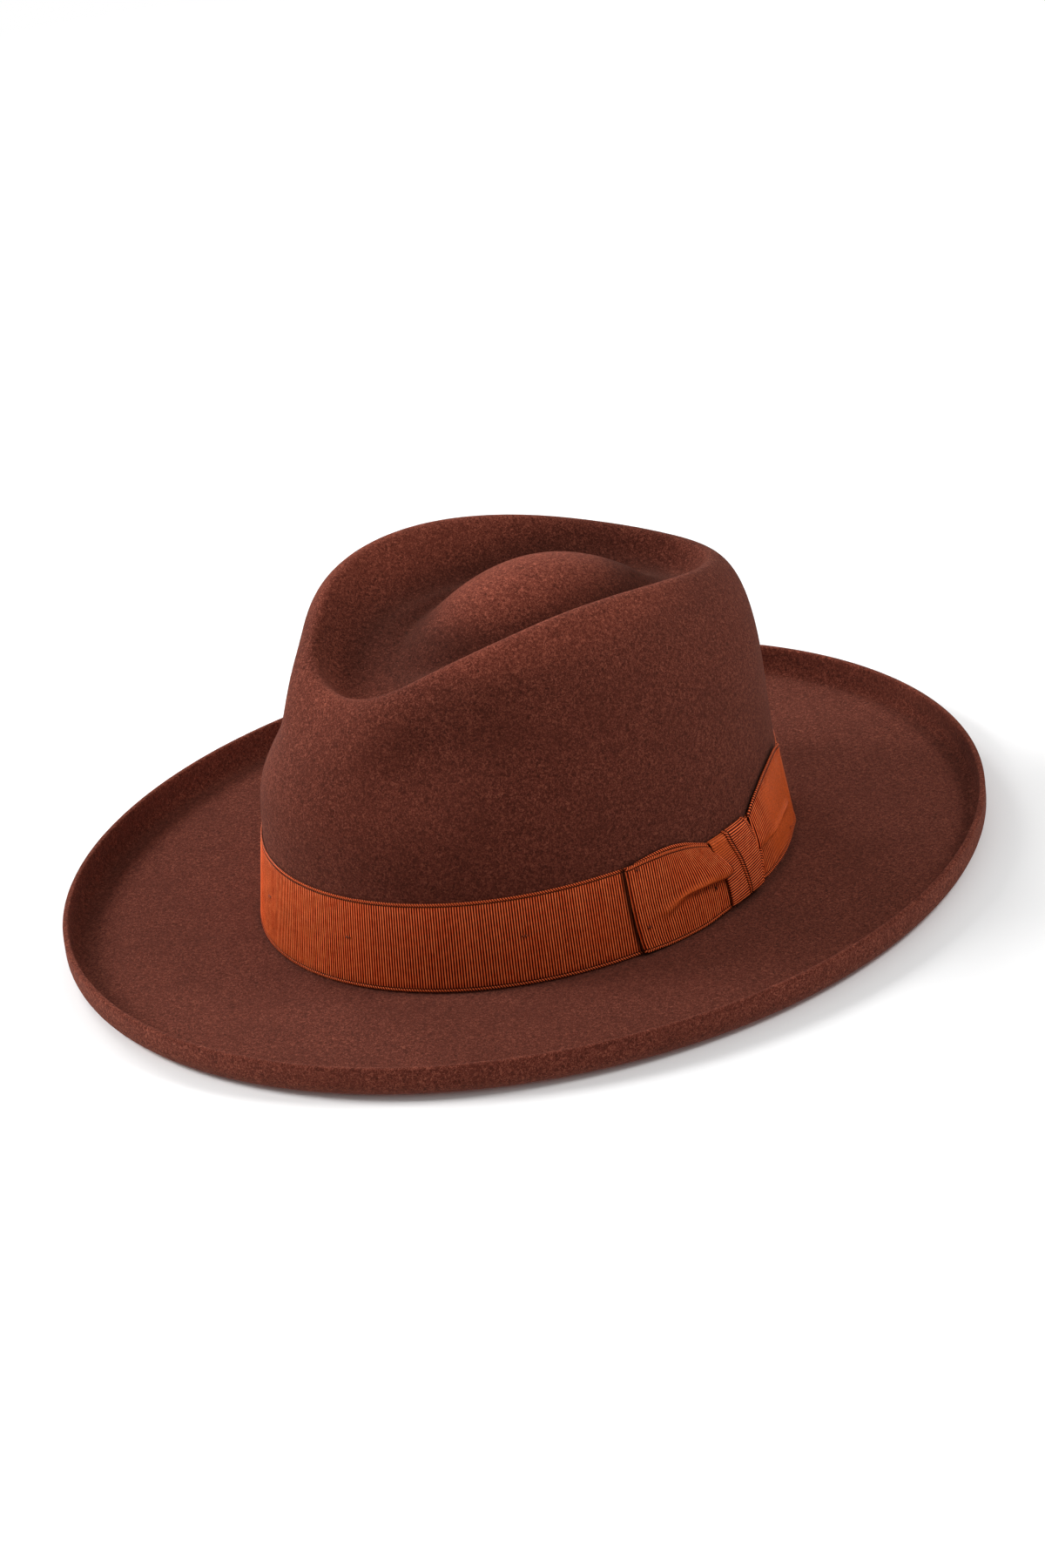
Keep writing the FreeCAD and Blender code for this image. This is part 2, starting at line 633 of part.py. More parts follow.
# ---------------------------------------------------------------- flat pieces on the sweatband
def patch(name, label, aliases, frames):
    """Equal flat boxes. aliases name width, height and thickness; each frame is
    (centre of the base, across, up, out)."""
    width, height, _ = [size(alias) for alias in aliases]
    boxes = []
    for i, (centre, across, up, out) in enumerate(frames, start=1):
        box = doc.addObject("Part::Box", f"{name}{i:02d}")
        for side, alias in zip(("Length", "Width", "Height"), aliases):
            box.setExpression(side, f"Sizes.{alias}")
        turn = FreeCAD.Rotation(FreeCAD.Matrix(across[0], up[0], out[0], 0,
                                               across[1], up[1], out[1], 0,
                                               across[2], up[2], out[2], 0,
                                               0, 0, 0, 1))
        corner = Vector(*centre) - turn.multVec(Vector(width / 2.0, height / 2.0, 0))
        box.Placement = FreeCAD.Placement(corner, turn)
        boxes.append(box)
    if len(boxes) == 1:
        keep(boxes[0], label)
        return
    group = doc.addObject("Part::Compound", name)
    group.Links = boxes
    keep(group, label)


def leather_oval(z):
    """Half-axes of the sweatband's felt side at a height."""
    low_a, low_b, low_z = size("leather_low_a"), size("leather_low_b"), size("leather_low_z")
    k = (z - low_z) / (size("leather_high_z") - low_z)
    return (low_a + (size("leather_high_a") - low_a) * k,
            low_b + (size("leather_high_b") - low_b) * k)


def back_frame(z):
    """At the very back of the sweatband: point on the felt side, up the slope, out."""
    y = leather_oval(z)[1]
    up = unit((0.0, leather_oval(z + 1.0)[1] - y, 1.0))
    return (0.0, y, z), up, (0.0, up[2], -up[1])


def back_seam():
    """Strip on the felt side of the sweatband, at the back."""
    point, up, out = back_frame((size("seam_low") + size("seam_high")) / 2.0)
    patch("BackSeam", "sweatband_back_seam", ("seam_width", "seam_length", "seam_thick"),
          [(add(point, out, size("seam_gap")), (-1, 0, 0), up, out)])


def tape_bow():
    """Small bow on the head side of the sweatband, at the back: two loops and a knot."""
    (_, y, z), up, out = back_frame(size("tape_z"))
    inward = (-out[0], -out[1], -out[2])
    across = (1, 0, 0)
    gap = size("tape_gap")
    inner_y = y - size("leather_thick")
    half_loop = size("tape_loop_width") / 2.0
    loop_x = half_loop + size("tape_knot_width") / 2.0 + size("tape_loop_gap")
    # the leather curves towards the front here, so the loops sit further in
    reach = (loop_x + half_loop) / leather_oval(z)[0]
    drop = inner_y * (1 - math.sqrt(1 - reach ** 2))
    patch("TapeLoops", "sweatband_bow_loops",
          ("tape_loop_width", "tape_loop_height", "tape_thick"),
          [(add((x, inner_y, z), inward, gap + drop), across, up, inward)
           for x in (-loop_x, loop_x)])
    patch("TapeKnot", "sweatband_bow_knot",
          ("tape_knot_width", "tape_knot_height", "tape_knot_thick"),
          [(add((0.0, inner_y, z), inward, gap), across, up, inward)])


def size_label():
    """Label on the felt side of the sweatband, towards the wearer's back left."""
    angle, z = math.radians(size("label_angle")), size("label_z")
    low = oval_point(*leather_oval(z), 0, z, 0, angle)
    high = oval_point(*leather_oval(z + 10.0), 0, z + 10.0, 0, angle)
    up = unit(add(high, low, -1))
    normal = plan_normal(*leather_oval(z), angle)
    across = (normal[1], -normal[0], 0.0)
    out = unit(cross(up, across))
    patch("SizeLabel", "size_label", ("label_width", "label_height", "label_thick"),
          [(add(low, out, size("label_gap")), across, up, out)])


back_seam()
tape_bow()
size_label()
doc.recompute()

# ---------------------------------------------------------------- checks and export
bad = []
for obj in doc.Objects:
    faults = [state for state in obj.State if state in ("Invalid", "Error")]
    if faults:
        bad.append(f"{obj.Label} {faults}")
for obj in EXPORTS:
    if obj.Shape.isNull() or not obj.Shape.isValid():
        bad.append(f"{obj.Label} shape")
if bad:
    raise RuntimeError("; ".join(bad))
for obj in EXPORTS:
    obj.Shape.exportStep(f"parts/{obj.Label}.step")
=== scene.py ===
"""A felt hat: dented crown, curled brim, grosgrain band and bow, leather sweatband and lining.

+X is the wearer's left, where the bow lies, -Y is the front and +Z is up. The origin is on the
flat underside of the brim. Shapes are in millimetres and become metres as their meshes are made.
Angles about the hat start at the front and turn towards the wearer's left.
"""
import bmesh
import bpy
import math
import numpy as np
from collections import namedtuple
from itertools import product
from mathutils import Vector, Matrix


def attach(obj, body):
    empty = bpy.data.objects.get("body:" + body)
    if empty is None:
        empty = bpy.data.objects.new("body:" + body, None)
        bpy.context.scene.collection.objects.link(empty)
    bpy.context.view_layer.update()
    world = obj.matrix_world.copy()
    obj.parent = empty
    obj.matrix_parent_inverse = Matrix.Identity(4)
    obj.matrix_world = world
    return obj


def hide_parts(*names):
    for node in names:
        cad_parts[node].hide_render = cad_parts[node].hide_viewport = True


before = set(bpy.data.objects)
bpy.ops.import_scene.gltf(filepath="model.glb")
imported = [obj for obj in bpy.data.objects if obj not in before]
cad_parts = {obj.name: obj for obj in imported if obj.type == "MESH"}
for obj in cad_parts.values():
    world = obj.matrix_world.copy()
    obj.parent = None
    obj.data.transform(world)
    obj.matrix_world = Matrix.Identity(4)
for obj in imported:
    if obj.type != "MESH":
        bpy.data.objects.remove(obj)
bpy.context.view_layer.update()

TAU = 2 * math.pi
MM = 0.001
FLAT = np.array([1, 1, 0])
UP = np.array([0, 0, 1.0])

# ---------------------------------------------------------------- sizes of the felt
Ring = namedtuple("Ring", "half_x half_y mid_y skew z")
WALL_FOOT = Ring(87.0, 103.1, 0.0, 0.0, 3.0)
WALL_TOP = Ring(82.34, 99.37, 0.4, 0.0, 36.0)
LOWER_SIDE = Ring(78.27, 98.32, 0.78, -0.51, 62.0)
UPPER_SIDE = Ring(71.31, 95.0, 3.6, -2.2, 0.0)      # its height is a share of the crest's
UPPER_SIDE_SHARE = 0.76

# The crest as waves about the hat: the terms multiply the sine or cosine of 0, 1, 2... angles
CREST_X = (0, 50.43, 3.45, -0.68)
CREST_Y = (0, 82.3, -2.0, -2.02)
CREST_Z = (110.98, 1.52, -11.49, -2.08, 0.23)
CREST_MID_Y = 6.4
TROUGH_DEPTH = (12.01, 0.1, -6.19)
TROUGH_INWARD = 19.34                                # from the crest to the trough's floor
SHOULDER_OUT, SHOULDER_IN, SHOULDER_DROP = 8.45, 6.47, 6.5
DOME_Y, DOME_Z = 12.3, 119.8
DOME_HALF_X, DOME_HALF_Y, DOME_DROP = 16.4, 27.2, 6.0

# Two hollows at the front of the crown, one each side
PINCH_DEPTH, PINCH_ANGLE, PINCH_SPREAD = 5.65, 0.718, 0.282

FELT = 2.0                                           # thickness of the crown's felt
BRIM_TOP = 2.3
BRIM_HALF_X, BRIM_HALF_Y = 155.3, 176.8
CURL_RADIUS = 6.5                                    # underside of the brim's edge
INNER_CORNER, OUTER_CORNER = 2.2, 0.65               # radii where crown and brim meet


# ---------------------------------------------------------------- curves and surfaces
def stack(*parts):
    return np.stack(parts, -1)


def grid(rows, columns):
    return np.meshgrid(rows, columns, indexing="ij")


def around(count):
    return np.linspace(0, TAU, count + 1)[:-1]


def turns(*degrees):
    """Sine and cosine of each angle."""
    return [(math.sin(math.radians(deg)), math.cos(math.radians(deg))) for deg in degrees]


def smooth01(x):
    x = np.clip(x, 0, 1)
    return x * x * (3 - 2 * x)


def quarter_round(x):
    """0 at x = 0, falling away as a quarter circle to 1 at x = 1."""
    return 1 - np.sqrt(1 - np.clip(x, 0, 1) ** 2)


def line_through(x, keys):
    return np.interp(x, *zip(*keys))


def smooth_curve(x, keys):
    """Smooth line through keys (x, y), by easing a piecewise line."""
    weights = ((-4, 0.1), (-2, 0.2), (0, 0.4), (2, 0.2), (4, 0.1))
    return sum(line_through(x + shift, keys) * weight for shift, weight in weights)


def ellipse_offset(half_x, half_y, mid_y, angle, z, out):
    """Points at height z and a distance outside an ellipse."""
    angle, z, out = np.broadcast_arrays(*[np.asarray(part, float) for part in (angle, z, out)])
    sin, cos = np.sin(angle), np.cos(angle)
    normal = stack(half_y * sin, -half_x * cos)
    normal /= np.linalg.norm(normal, axis=-1, keepdims=True)
    return stack(half_x * sin + normal[..., 0] * out,
                 mid_y - half_y * cos + normal[..., 1] * out, z)


def cone(foot, top, angle, z, out):
    share = (z - foot.z) / (top.z - foot.z)
    half_x, half_y, mid_y = [low + (high - low) * share for low, high in zip(foot[:3], top[:3])]
    return ellipse_offset(half_x, half_y, mid_y, angle, z, out)


def wall(angle, z, out):
    """Points on the crown wall under the ribbon, moved out from the felt."""
    return cone(WALL_FOOT, WALL_TOP, angle, z, out)


def wall_out(angle):
    """Level unit vectors pointing out of the wall's foot."""
    out = stack(np.sin(angle) * WALL_FOOT.half_y, -np.cos(angle) * WALL_FOOT.half_x, 0 * angle)
    return out / np.linalg.norm(out, axis=1, keepdims=True)


def skew_ring(ring, angle):
    return stack(ring.half_x * np.sin(angle) + ring.skew * np.sin(2 * angle),
                 ring.mid_y - ring.half_y * np.cos(angle), ring.z + 0 * angle)


def harmonics(terms, wave, angle):
    return sum(term * wave(i * angle) for i, term in enumerate(terms))


def crown_stations(angle):
    """Ten rings that guide the crown, from the wall's foot (0) to the dome's top (9)."""
    sin, cos = np.sin(angle), np.cos(angle)
    from_front = np.abs((angle + np.pi) % TAU - np.pi)
    pinch = np.exp(-((from_front - PINCH_ANGLE) / PINCH_SPREAD) ** 2) * PINCH_DEPTH
    pinch = wall_out(angle) * pinch[:, None]
    crest_z = harmonics(CREST_Z, np.cos, angle)
    crest = stack(harmonics(CREST_X, np.sin, angle),
                  CREST_MID_Y - harmonics(CREST_Y, np.cos, angle), crest_z)
    slope_x = harmonics([i * term for i, term in enumerate(CREST_X)], np.cos, angle)
    slope_y = harmonics([i * term for i, term in enumerate(CREST_Y)], np.sin, angle)
    out = stack(slope_y, -slope_x, 0 * angle) / np.hypot(slope_x, slope_y)[:, None]
    out *= np.sign(out[:, 0] * crest[:, 0] + out[:, 1] * (crest[:, 1] - CREST_MID_Y))[:, None]
    upper_side = skew_ring(UPPER_SIDE, angle)
    upper_side[:, 2] = UPPER_SIDE_SHARE * crest_z
    trough = crest - out * TROUGH_INWARD
    trough[:, 2] = crest_z - harmonics(TROUGH_DEPTH, np.cos, angle)
    return [
        skew_ring(WALL_FOOT, angle),
        skew_ring(WALL_TOP, angle),
        skew_ring(LOWER_SIDE, angle) - 0.35 * pinch,
        upper_side - pinch,
        crest + out * SHOULDER_OUT - UP * SHOULDER_DROP - 0.7 * pinch,
        crest - 0.45 * pinch,
        crest - out * SHOULDER_IN - UP * SHOULDER_DROP - 0.25 * pinch,
        trough,
        stack(DOME_HALF_X * sin, DOME_Y - DOME_HALF_Y * cos, DOME_Z - DOME_DROP + 0 * angle),
        np.tile(np.array([0, DOME_Y, DOME_Z]), (len(angle), 1)),
    ]


def spline_rings(knots, points, wanted):
    """Natural cubic splines up the columns of points, sampled at each ring of wanted knots."""
    count, columns = knots.shape
    gap = np.diff(knots, axis=0)[..., None]
    slope = np.diff(points, axis=0) / gap
    ahead, part = np.zeros((count, columns, 1)), np.zeros((count, columns, 3))
    for i in range(1, count - 1):
        pivot = 2 * (gap[i - 1] + gap[i]) - gap[i - 1] * ahead[i - 1]
        ahead[i] = gap[i] / pivot
        part[i] = (6 * (slope[i] - slope[i - 1]) - gap[i - 1] * part[i - 1]) / pivot
    bend = np.zeros((count, columns, 3))
    for i in range(count - 2, 0, -1):
        bend[i] = part[i] - ahead[i] * bend[i + 1]
    rings, column = [], np.arange(columns)
    for knot in wanted:
        i = np.clip((knots <= knot[None, :] + 1e-12).sum(0) - 1, 0, count - 2)
        here, following = (i, column), (i + 1, column)
        width = gap[here]
        past = (knot - knots[here])[:, None]
        left = width - past
        rings.append((bend[here] * left ** 3 + bend[following] * past ** 3) / (6 * width)
                     + (points[here] / width - bend[here] * width / 6) * left
                     + (points[following] / width - bend[following] * width / 6) * past)
    return np.stack(rings)


def crown_rings(angle, labels):
    """Rings of the crown at labels, where a whole label is a guiding station."""
    stations = crown_stations(angle)
    # each spline runs on past the top to the opposite side
    across = -(len(angle) // 2)
    beyond = [np.roll(stations[i], across, axis=0) for i in (8, 7)]
    points = np.stack(stations + beyond)
    steps = np.linalg.norm(np.diff(points, axis=0), axis=2) ** 0.75
    knots = np.concatenate([np.zeros((1, len(angle))), np.cumsum(steps, axis=0)])
    wanted = []
    for label in labels:
        i = min(int(label), 8)
        wanted.append(knots[i] + (knots[i + 1] - knots[i]) * (label - i))
    return spline_rings(knots, points, wanted)


def settle_trough(rings, labels):
    """Carry the trough's floor in from the ridges as a smooth sheet, with one low dome on it."""
    columns = np.linspace(0, rings.shape[1], 25)[:-1].astype(int)
    picked = [rings[int(np.argmin(np.abs(np.array(labels) - label)))][columns]
              for label in (6.75, 7.0)]
    picked = np.concatenate(picked)
    plan = picked[:, :2]

    def kernel(first, second):
        return np.linalg.norm(first[:, None] - second[None], axis=2) ** 3

    count = len(picked)
    system = np.zeros((count + 3, count + 3))
    system[:count, :count] = kernel(plan, plan) + np.eye(count) * 0.5
    system[:count, count:] = np.concatenate([np.ones((count, 1)), plan], 1)
    system[count:, :count] = system[:count, count:].T
    fit = np.linalg.solve(system, np.concatenate([picked[:, 2], np.zeros(3)]))
    blend_width = 1.15
    for ring, label in zip(rings, labels):
        if label > 7.0:
            share = smooth01((label - 7.0) / 0.4)
            here = ring[:, :2]
            floor_z = kernel(here, plan) @ fit[:count] + fit[count] + here @ fit[count + 1:]
            dome_z = 119.85 - here[:, 0] ** 2 / 45.1 - (here[:, 1] - DOME_Y) ** 2 / 122.6
            z = blend_width * np.logaddexp(floor_z / blend_width, dome_z / blend_width)
            ring[:, 2] = ring[:, 2] * (1 - share) + z * share


def ring_normals(rings):
    """Outward unit normals of rings listed upwards."""
    rise = np.zeros_like(rings)
    rise[1:-1] = rings[2:] - rings[:-2]
    rise[0], rise[-1] = rings[1] - rings[0], rings[-1] - rings[-2]
    normal = np.cross(np.roll(rings, -1, 1) - np.roll(rings, 1, 1), rise)
    return normal / (np.linalg.norm(normal, axis=2, keepdims=True) + 1e-12)


LATTICE = np.random.default_rng(7).random((64, 64, 64)).astype(np.float32) * 2 - 1


def noise(points, size, octaves=2):
    """Smooth noise in -1..1, the same every run; size is that of a feature."""
    total, strength, weights = np.zeros(points.shape[:-1]), 1.0, 0.0
    for octave in range(octaves):
        place = points / size * (2 ** octave) + 17.3 * (octave + 1)
        cell = np.floor(place).astype(int)
        share = place - cell
        share = share * share * (3 - 2 * share)
        for corner in product((0, 1), repeat=3):
            weight = np.prod(np.where(corner, share, 1 - share), axis=-1)
            value = LATTICE[tuple(np.moveaxis((cell + corner) % 64, -1, 0))]
            total += weight * value * strength
        weights += strength
        strength *= 0.5
    return total / weights


# ---------------------------------------------------------------- mesh helpers
def make_mesh(name, verts, quads, tris=(), uv=None):
    """Object from arrays; uv is one pair for each vertex."""
    mesh = bpy.data.meshes.new(name)
    verts = np.asarray(verts, np.float32) * MM
    quads = np.asarray(quads, np.int32).reshape(-1, 4)
    tris = np.asarray(tris, np.int32).reshape(-1, 3)
    mesh.vertices.add(len(verts))
    mesh.vertices.foreach_set("co", verts.ravel())
    loops = np.concatenate([quads.ravel(), tris.ravel()])
    mesh.loops.add(len(loops))
    mesh.loops.foreach_set("vertex_index", loops)
    mesh.polygons.add(len(quads) + len(tris))
    starts = [np.arange(len(quads)) * 4, len(quads) * 4 + np.arange(len(tris)) * 3]
    mesh.polygons.foreach_set("loop_start", np.concatenate(starts).astype(np.int32))
    mesh.polygons.foreach_set("use_smooth", np.full(len(quads) + len(tris), True))
    mesh.update(calc_edges=True)
    if uv is not None:
        layer = mesh.uv_layers.new(name="UVMap")
        layer.data.foreach_set("uv", (np.asarray(uv, np.float32)[loops] * MM).ravel())
    mesh.validate()
    return add_object(name, mesh)


def add_object(name, data):
    ob = bpy.data.objects.new(name, data)
    bpy.context.scene.collection.objects.link(ob)
    return ob


def add_values(ob, name, values):
    layer = ob.data.attributes.new(name, "FLOAT", "POINT")
    layer.data.foreach_set("value", values.astype(np.float32))


def ring_faces(count, size, closed=False):
    """Quads between rings; closed also joins the last ring to the first."""
    ids = np.arange(count * size).reshape(count, size)
    if closed:
        ids = np.concatenate([ids, ids[:1]])
    beside = np.roll(ids, -1, 1)
    return stack(ids[:-1], beside[:-1], beside[1:], ids[1:]).reshape(-1, 4)


def closed_rings(name, rings):
    rings = np.stack(rings)
    return make_mesh(name, rings.reshape(-1, 3), ring_faces(*rings.shape[:2], closed=True))


def capped_rings(name, rings, lift=0.0):
    """Rings closed at both ends by fans; lift raises the first fan's tip."""
    rings = np.stack(rings)
    count, size = rings.shape[:2]
    tips = [[rings[0].mean(0) + [0, 0, lift]], [rings[-1].mean(0)]]
    column = np.arange(size)
    beside = (column + 1) % size
    last = (count - 1) * size
    first_fan = stack(np.full(size, count * size), beside, column)
    last_fan = stack(last + column, last + beside, np.full(size, count * size + 1))
    return make_mesh(name, np.concatenate([rings.reshape(-1, 3)] + tips),
                     ring_faces(count, size), np.concatenate([first_fan, last_fan]))


def surface_normals(points, wrap=False):
    if wrap:
        along = np.roll(points, -1, 0) - np.roll(points, 1, 0)
    else:
        along = np.gradient(points, axis=0)
    normal = np.cross(along, np.gradient(points, axis=1))
    return normal / (np.linalg.norm(normal, axis=2, keepdims=True) + 1e-12)


def lay(surface, angle, z, out, side=1.0, wrap=False, columns=None):
    """Points on a surface, and normals facing out (side 1) or in (side -1).
    Only the first columns decide which way the normals face."""
    base = surface(angle, z, out)
    normal = surface_normals(base, wrap)
    away = surface(angle, z, out + side) - base
    normal *= np.sign((normal * away).sum(-1)[:, :columns].mean())
    return base, normal


def ribbon_sheet(name, base, normal, height, thick, uv, wrap=False, **values):
    """Closed thin strip on a grid (along, across): its relief stands a height above the base
    and its back lies a thickness below. Values become attributes of its vertices."""
    height = np.broadcast_to(height, base.shape[:2])
    top = base + normal * height[..., None]
    back = top - normal * (thick + height)[..., None]
    low = height.size
    ids = np.arange(low).reshape(height.shape)
    if wrap:
        ids = np.concatenate([ids, ids[:1]])
    face = stack(ids[:-1, :-1], ids[1:, :-1], ids[1:, 1:], ids[:-1, 1:]).reshape(-1, 4)

    def edge(line):
        return stack(line[:-1], line[1:], line[1:] + low, line[:-1] + low)

    flipped = [0, 3, 2, 1]
    faces = [face, face[:, ::-1] + low, edge(ids[:, 0])[:, flipped], edge(ids[:, -1])]
    if not wrap:
        faces += [edge(ids[0]), edge(ids[-1])[:, flipped]]
    ob = make_mesh(name, np.concatenate([top.reshape(-1, 3), back.reshape(-1, 3)]),
                   np.concatenate(faces), uv=np.concatenate([uv.reshape(-1, 2)] * 2))
    for value_name, value in values.items():
        add_values(ob, value_name, np.concatenate([value.reshape(-1)] * 2))
    return ob


def face_outward(ob):
    """Make the face normals of a closed mesh point out."""
    work = bmesh.new()
    work.from_mesh(ob.data)
    bmesh.ops.recalc_face_normals(work, faces=work.faces)
    if work.calc_volume(signed=True) < 0:
        bmesh.ops.reverse_faces(work, faces=work.faces)
    work.to_mesh(ob.data)
    work.free()


def join(parts, name):
    for part in parts:
        face_outward(part)
    bpy.ops.object.select_all(action="DESELECT")
    for part in parts:
        part.select_set(True)
    bpy.context.view_layer.objects.active = parts[0]
    bpy.ops.object.join()
    parts[0].name = name
    return parts[0]


# ---------------------------------------------------------------- felt body
FELT_ANGLES = around(640)


def steps(first, last, count):
    """Even steps from first, stopping short of last."""
    return [first + (last - first) * i / count for i in range(count)]


def brim_edge(z, out):
    return ellipse_offset(BRIM_HALF_X, BRIM_HALF_Y, 0, FELT_ANGLES, z, out)


def felt_crown():
    """Outer crown from the ribbon's top (label 1) to the dome."""
    labels = []
    for first, last, count in ((1, 2, 14), (2, 3, 14), (3, 4, 12), (4, 5, 10), (5, 6, 10),
                               (6, 7, 12), (7, 8, 20), (8, 8.97, 16)):
        labels += steps(first, last, count)
    labels.append(8.97)
    rings = crown_rings(FELT_ANGLES, labels)
    settle_trough(rings, labels)
    # the shallow unevenness of shaped felt fades out at the ribbon and at the dome's top
    uneven = noise(rings, 48, 2) * 0.26 + noise(rings, 17, 2) * 0.05
    uneven = uneven * np.clip((rings[..., 2] - 38) / 25, 0, 1)
    uneven *= np.clip((9.0 - np.array(labels)) / 0.5, 0, 1)[:, None]
    return rings + ring_normals(rings) * uneven[..., None]


def brim_top():
    start = wall(FELT_ANGLES, BRIM_TOP, OUTER_CORNER)
    end = brim_edge(BRIM_TOP, -CURL_RADIUS - 1.5)
    rings = []
    for share in np.linspace(0, 1, 46)[1:]:
        ring = start + (end - start) * share
        fade = math.sin(math.pi * share)
        ring[:, 2] += noise(ring * FLAT, 60, 2) * 0.35 * fade
        ring[:, 2] += noise(ring * FLAT + 90, 22, 1) * 0.06 * fade
        rings.append(ring)
    return rings


# Section of the brim's standing lip, over its rounded top and down: height, distance outward
LIP = ((8.6, -2.3), (10.6, -2.28), (12.0, -2.22), (12.4, -2.0), (12.55, -1.6), (12.58, -1.15),
       (12.55, -0.7), (12.4, -0.3), (12.0, -0.06), (11.0, 0.0), (8.8, 0.0))


def brim_lip():
    rings = []

    def curl(radius, degrees):
        for sin, cos in turns(*degrees):
            rings.append(brim_edge(CURL_RADIUS - radius * cos, -CURL_RADIUS + radius * sin))

    curl(CURL_RADIUS - BRIM_TOP, np.linspace(6, 90, 9))
    wander = noise(brim_edge(0, 0), 70, 2) * 0.25
    for z, out in LIP:
        ring = brim_edge(z, out)
        ring[:, 2] += wander * np.clip((z - 8.0) / 4.0, 0, 1)
        rings.append(ring)
    curl(CURL_RADIUS, np.linspace(90, 0, 12))
    return rings


def felt_body():
    """Rings from the dome down outside, out over the brim, back beneath it and up inside."""
    top = felt_crown()
    rings = list(top[::-1])
    for z in np.linspace(WALL_TOP.z - 1.5, BRIM_TOP + OUTER_CORNER + 0.3, 10):
        rings.append(wall(FELT_ANGLES, z, 0.0))
    for sin, cos in turns(0, 22, 45, 67, 90):
        rings.append(wall(FELT_ANGLES, BRIM_TOP + OUTER_CORNER * (1 - sin),
                          OUTER_CORNER * (1 - cos)))
    rings += brim_top() + brim_lip()
    start, end = brim_edge(0.0, -CURL_RADIUS), wall(FELT_ANGLES, 0.0, -FELT + INNER_CORNER)
    for share in np.linspace(0, 1, 30)[1:]:
        rings.append(start + (end - start) * share)
    for sin, cos in turns(68, 45, 22, 0):
        rings.append(wall(FELT_ANGLES, INNER_CORNER * (1 - sin), -FELT + INNER_CORNER * (1 - cos)))
    for z in np.linspace(5.0, 34.0, 8):
        rings.append(wall(FELT_ANGLES, z, -FELT))
    rings += list((top - ring_normals(top) * FELT)[::2])
    return capped_rings("felt_body_shaped", rings, lift=0.02)


def mark_felt(ob):
    """Store a colour scale of painted light and shade, partly wear, and the zone of painted contact
    shade beside the band (beside).
    """
    x, y, z = (np.array([vert.co for vert in ob.data.vertices]) * 1000.0).T
    inside = smooth01((1.0 - (x / 46.0) ** 2 - ((y - 8.0) / 80.0) ** 2) / 0.35)
    ridge = smooth01((z - 106.5) / 12.5)
    trough = inside * (1.0 - smooth01((z - 103.0) / 11.0)) * (z > 80.0)
    side = (1.0 - inside) * smooth01((z - 12.0) / 20.0) * (1.0 - ridge)
    front = np.exp(-(x / 24.0) ** 2 - ((y + 70.0) / 15.0) ** 2) * (z > 80.0)
    rim = smooth01((z - 3.0) / 6.0) * (np.hypot(x / 155.0, y / 177.0) > 0.9)
    flat = (z < 14.0) * (1 - rim)
    # painted light and shade, partly wear on the ridges: lighter on the ridges, dome, front and
    # rim; darker in the trough
    painted_shading_and_wear = (0.92 + 0.44 * ridge + 0.14 * ridge * inside - 0.42 * trough * (1 - front)
            - 0.06 * side + 0.34 * front - 0.07 * flat + 0.12 * rim)
    beside = (smooth01((1.22 - np.hypot(x / 84.0, y / 101.0)) / 0.08)
              * smooth01((z - 1.9) / 0.3) * smooth01((52.0 - z) / 4.0))
    add_values(ob, "painted_shading_and_wear", painted_shading_and_wear)
    add_values(ob, "beside", beside)


felt = felt_body()
mark_felt(felt)

# ---------------------------------------------------------------- grosgrain ribbon
PITCH = 0.98                                         # from rib to rib
RIB_STEPS = 8                                        # mesh steps in a rib
BAND_WIDTH = 33.0
BAND_FOOT = WALL_FOOT.z
CORD_STEPS = [0.0, 0.12, 0.3, 0.5, 0.7, 0.88, 1.02, 1.2, 1.5]
PLAIN_STEPS = [0.0, 0.6, 1.2, 1.8]

# Length along the band against angle
ARC_ANGLES = np.linspace(0, TAU, 7201)
ARC_POINTS = wall(ARC_ANGLES, 19.5, 1.0)
ARC_LENGTHS = np.concatenate([[0], np.cumsum(np.linalg.norm(np.diff(ARC_POINTS, axis=0), axis=1))])
BAND_LENGTH = ARC_LENGTHS[-1]


def angle_at(length):
    return np.interp(np.mod(length, BAND_LENGTH), ARC_LENGTHS, ARC_ANGLES)


def rib_steps(length):
    return np.linspace(0, length, int(length / PITCH * RIB_STEPS))


def rib_height(along, across, width, peak=0.27, low_cord=True, pitch=PITCH, cord_peak=0.34):
    """Height of the ribs and twisted edge cords above the ribbon's ground.
    A rib's middle is at each whole number of pitches."""
    phase = along / pitch
    from_rib = np.abs(phase - np.round(phase))
    rib = np.sqrt(np.clip(1 - (2 * from_rib / 0.86) ** 2, 0, 1)) * peak
    cord, between = 0, 1
    for edge in (across, width - across) if low_cord else (width - across,):
        arch = np.clip(1 - ((edge - 0.5) / 0.52) ** 2, 0, 1) ** 0.5
        cord = cord + cord_peak * arch * (0.72 + 0.28 * np.cos(phase * TAU + edge * 4.0))
        between = between * np.clip((edge - 1.1) / 0.3, 0, 1)
    return rib * between + cord


def across_steps(width, middle, low_cord=True):
    low = CORD_STEPS if low_cord else PLAIN_STEPS
    mid = list(np.linspace(low[-1], width - CORD_STEPS[-1], middle + 2)[1:-1])
    return np.array(low + mid + [width - step for step in reversed(CORD_STEPS)])


# ---------------------------------------------------------------- band
BOW_START = 134.42                                   # length at which the bow's front edge lies
TACK_ANGLES = (18.0, 58.8, 180.0, 212.0, 246.0, 282.0, 318.0, 346.0)
TACK_HEIGHT = 18.0                                   # above the band's lower edge

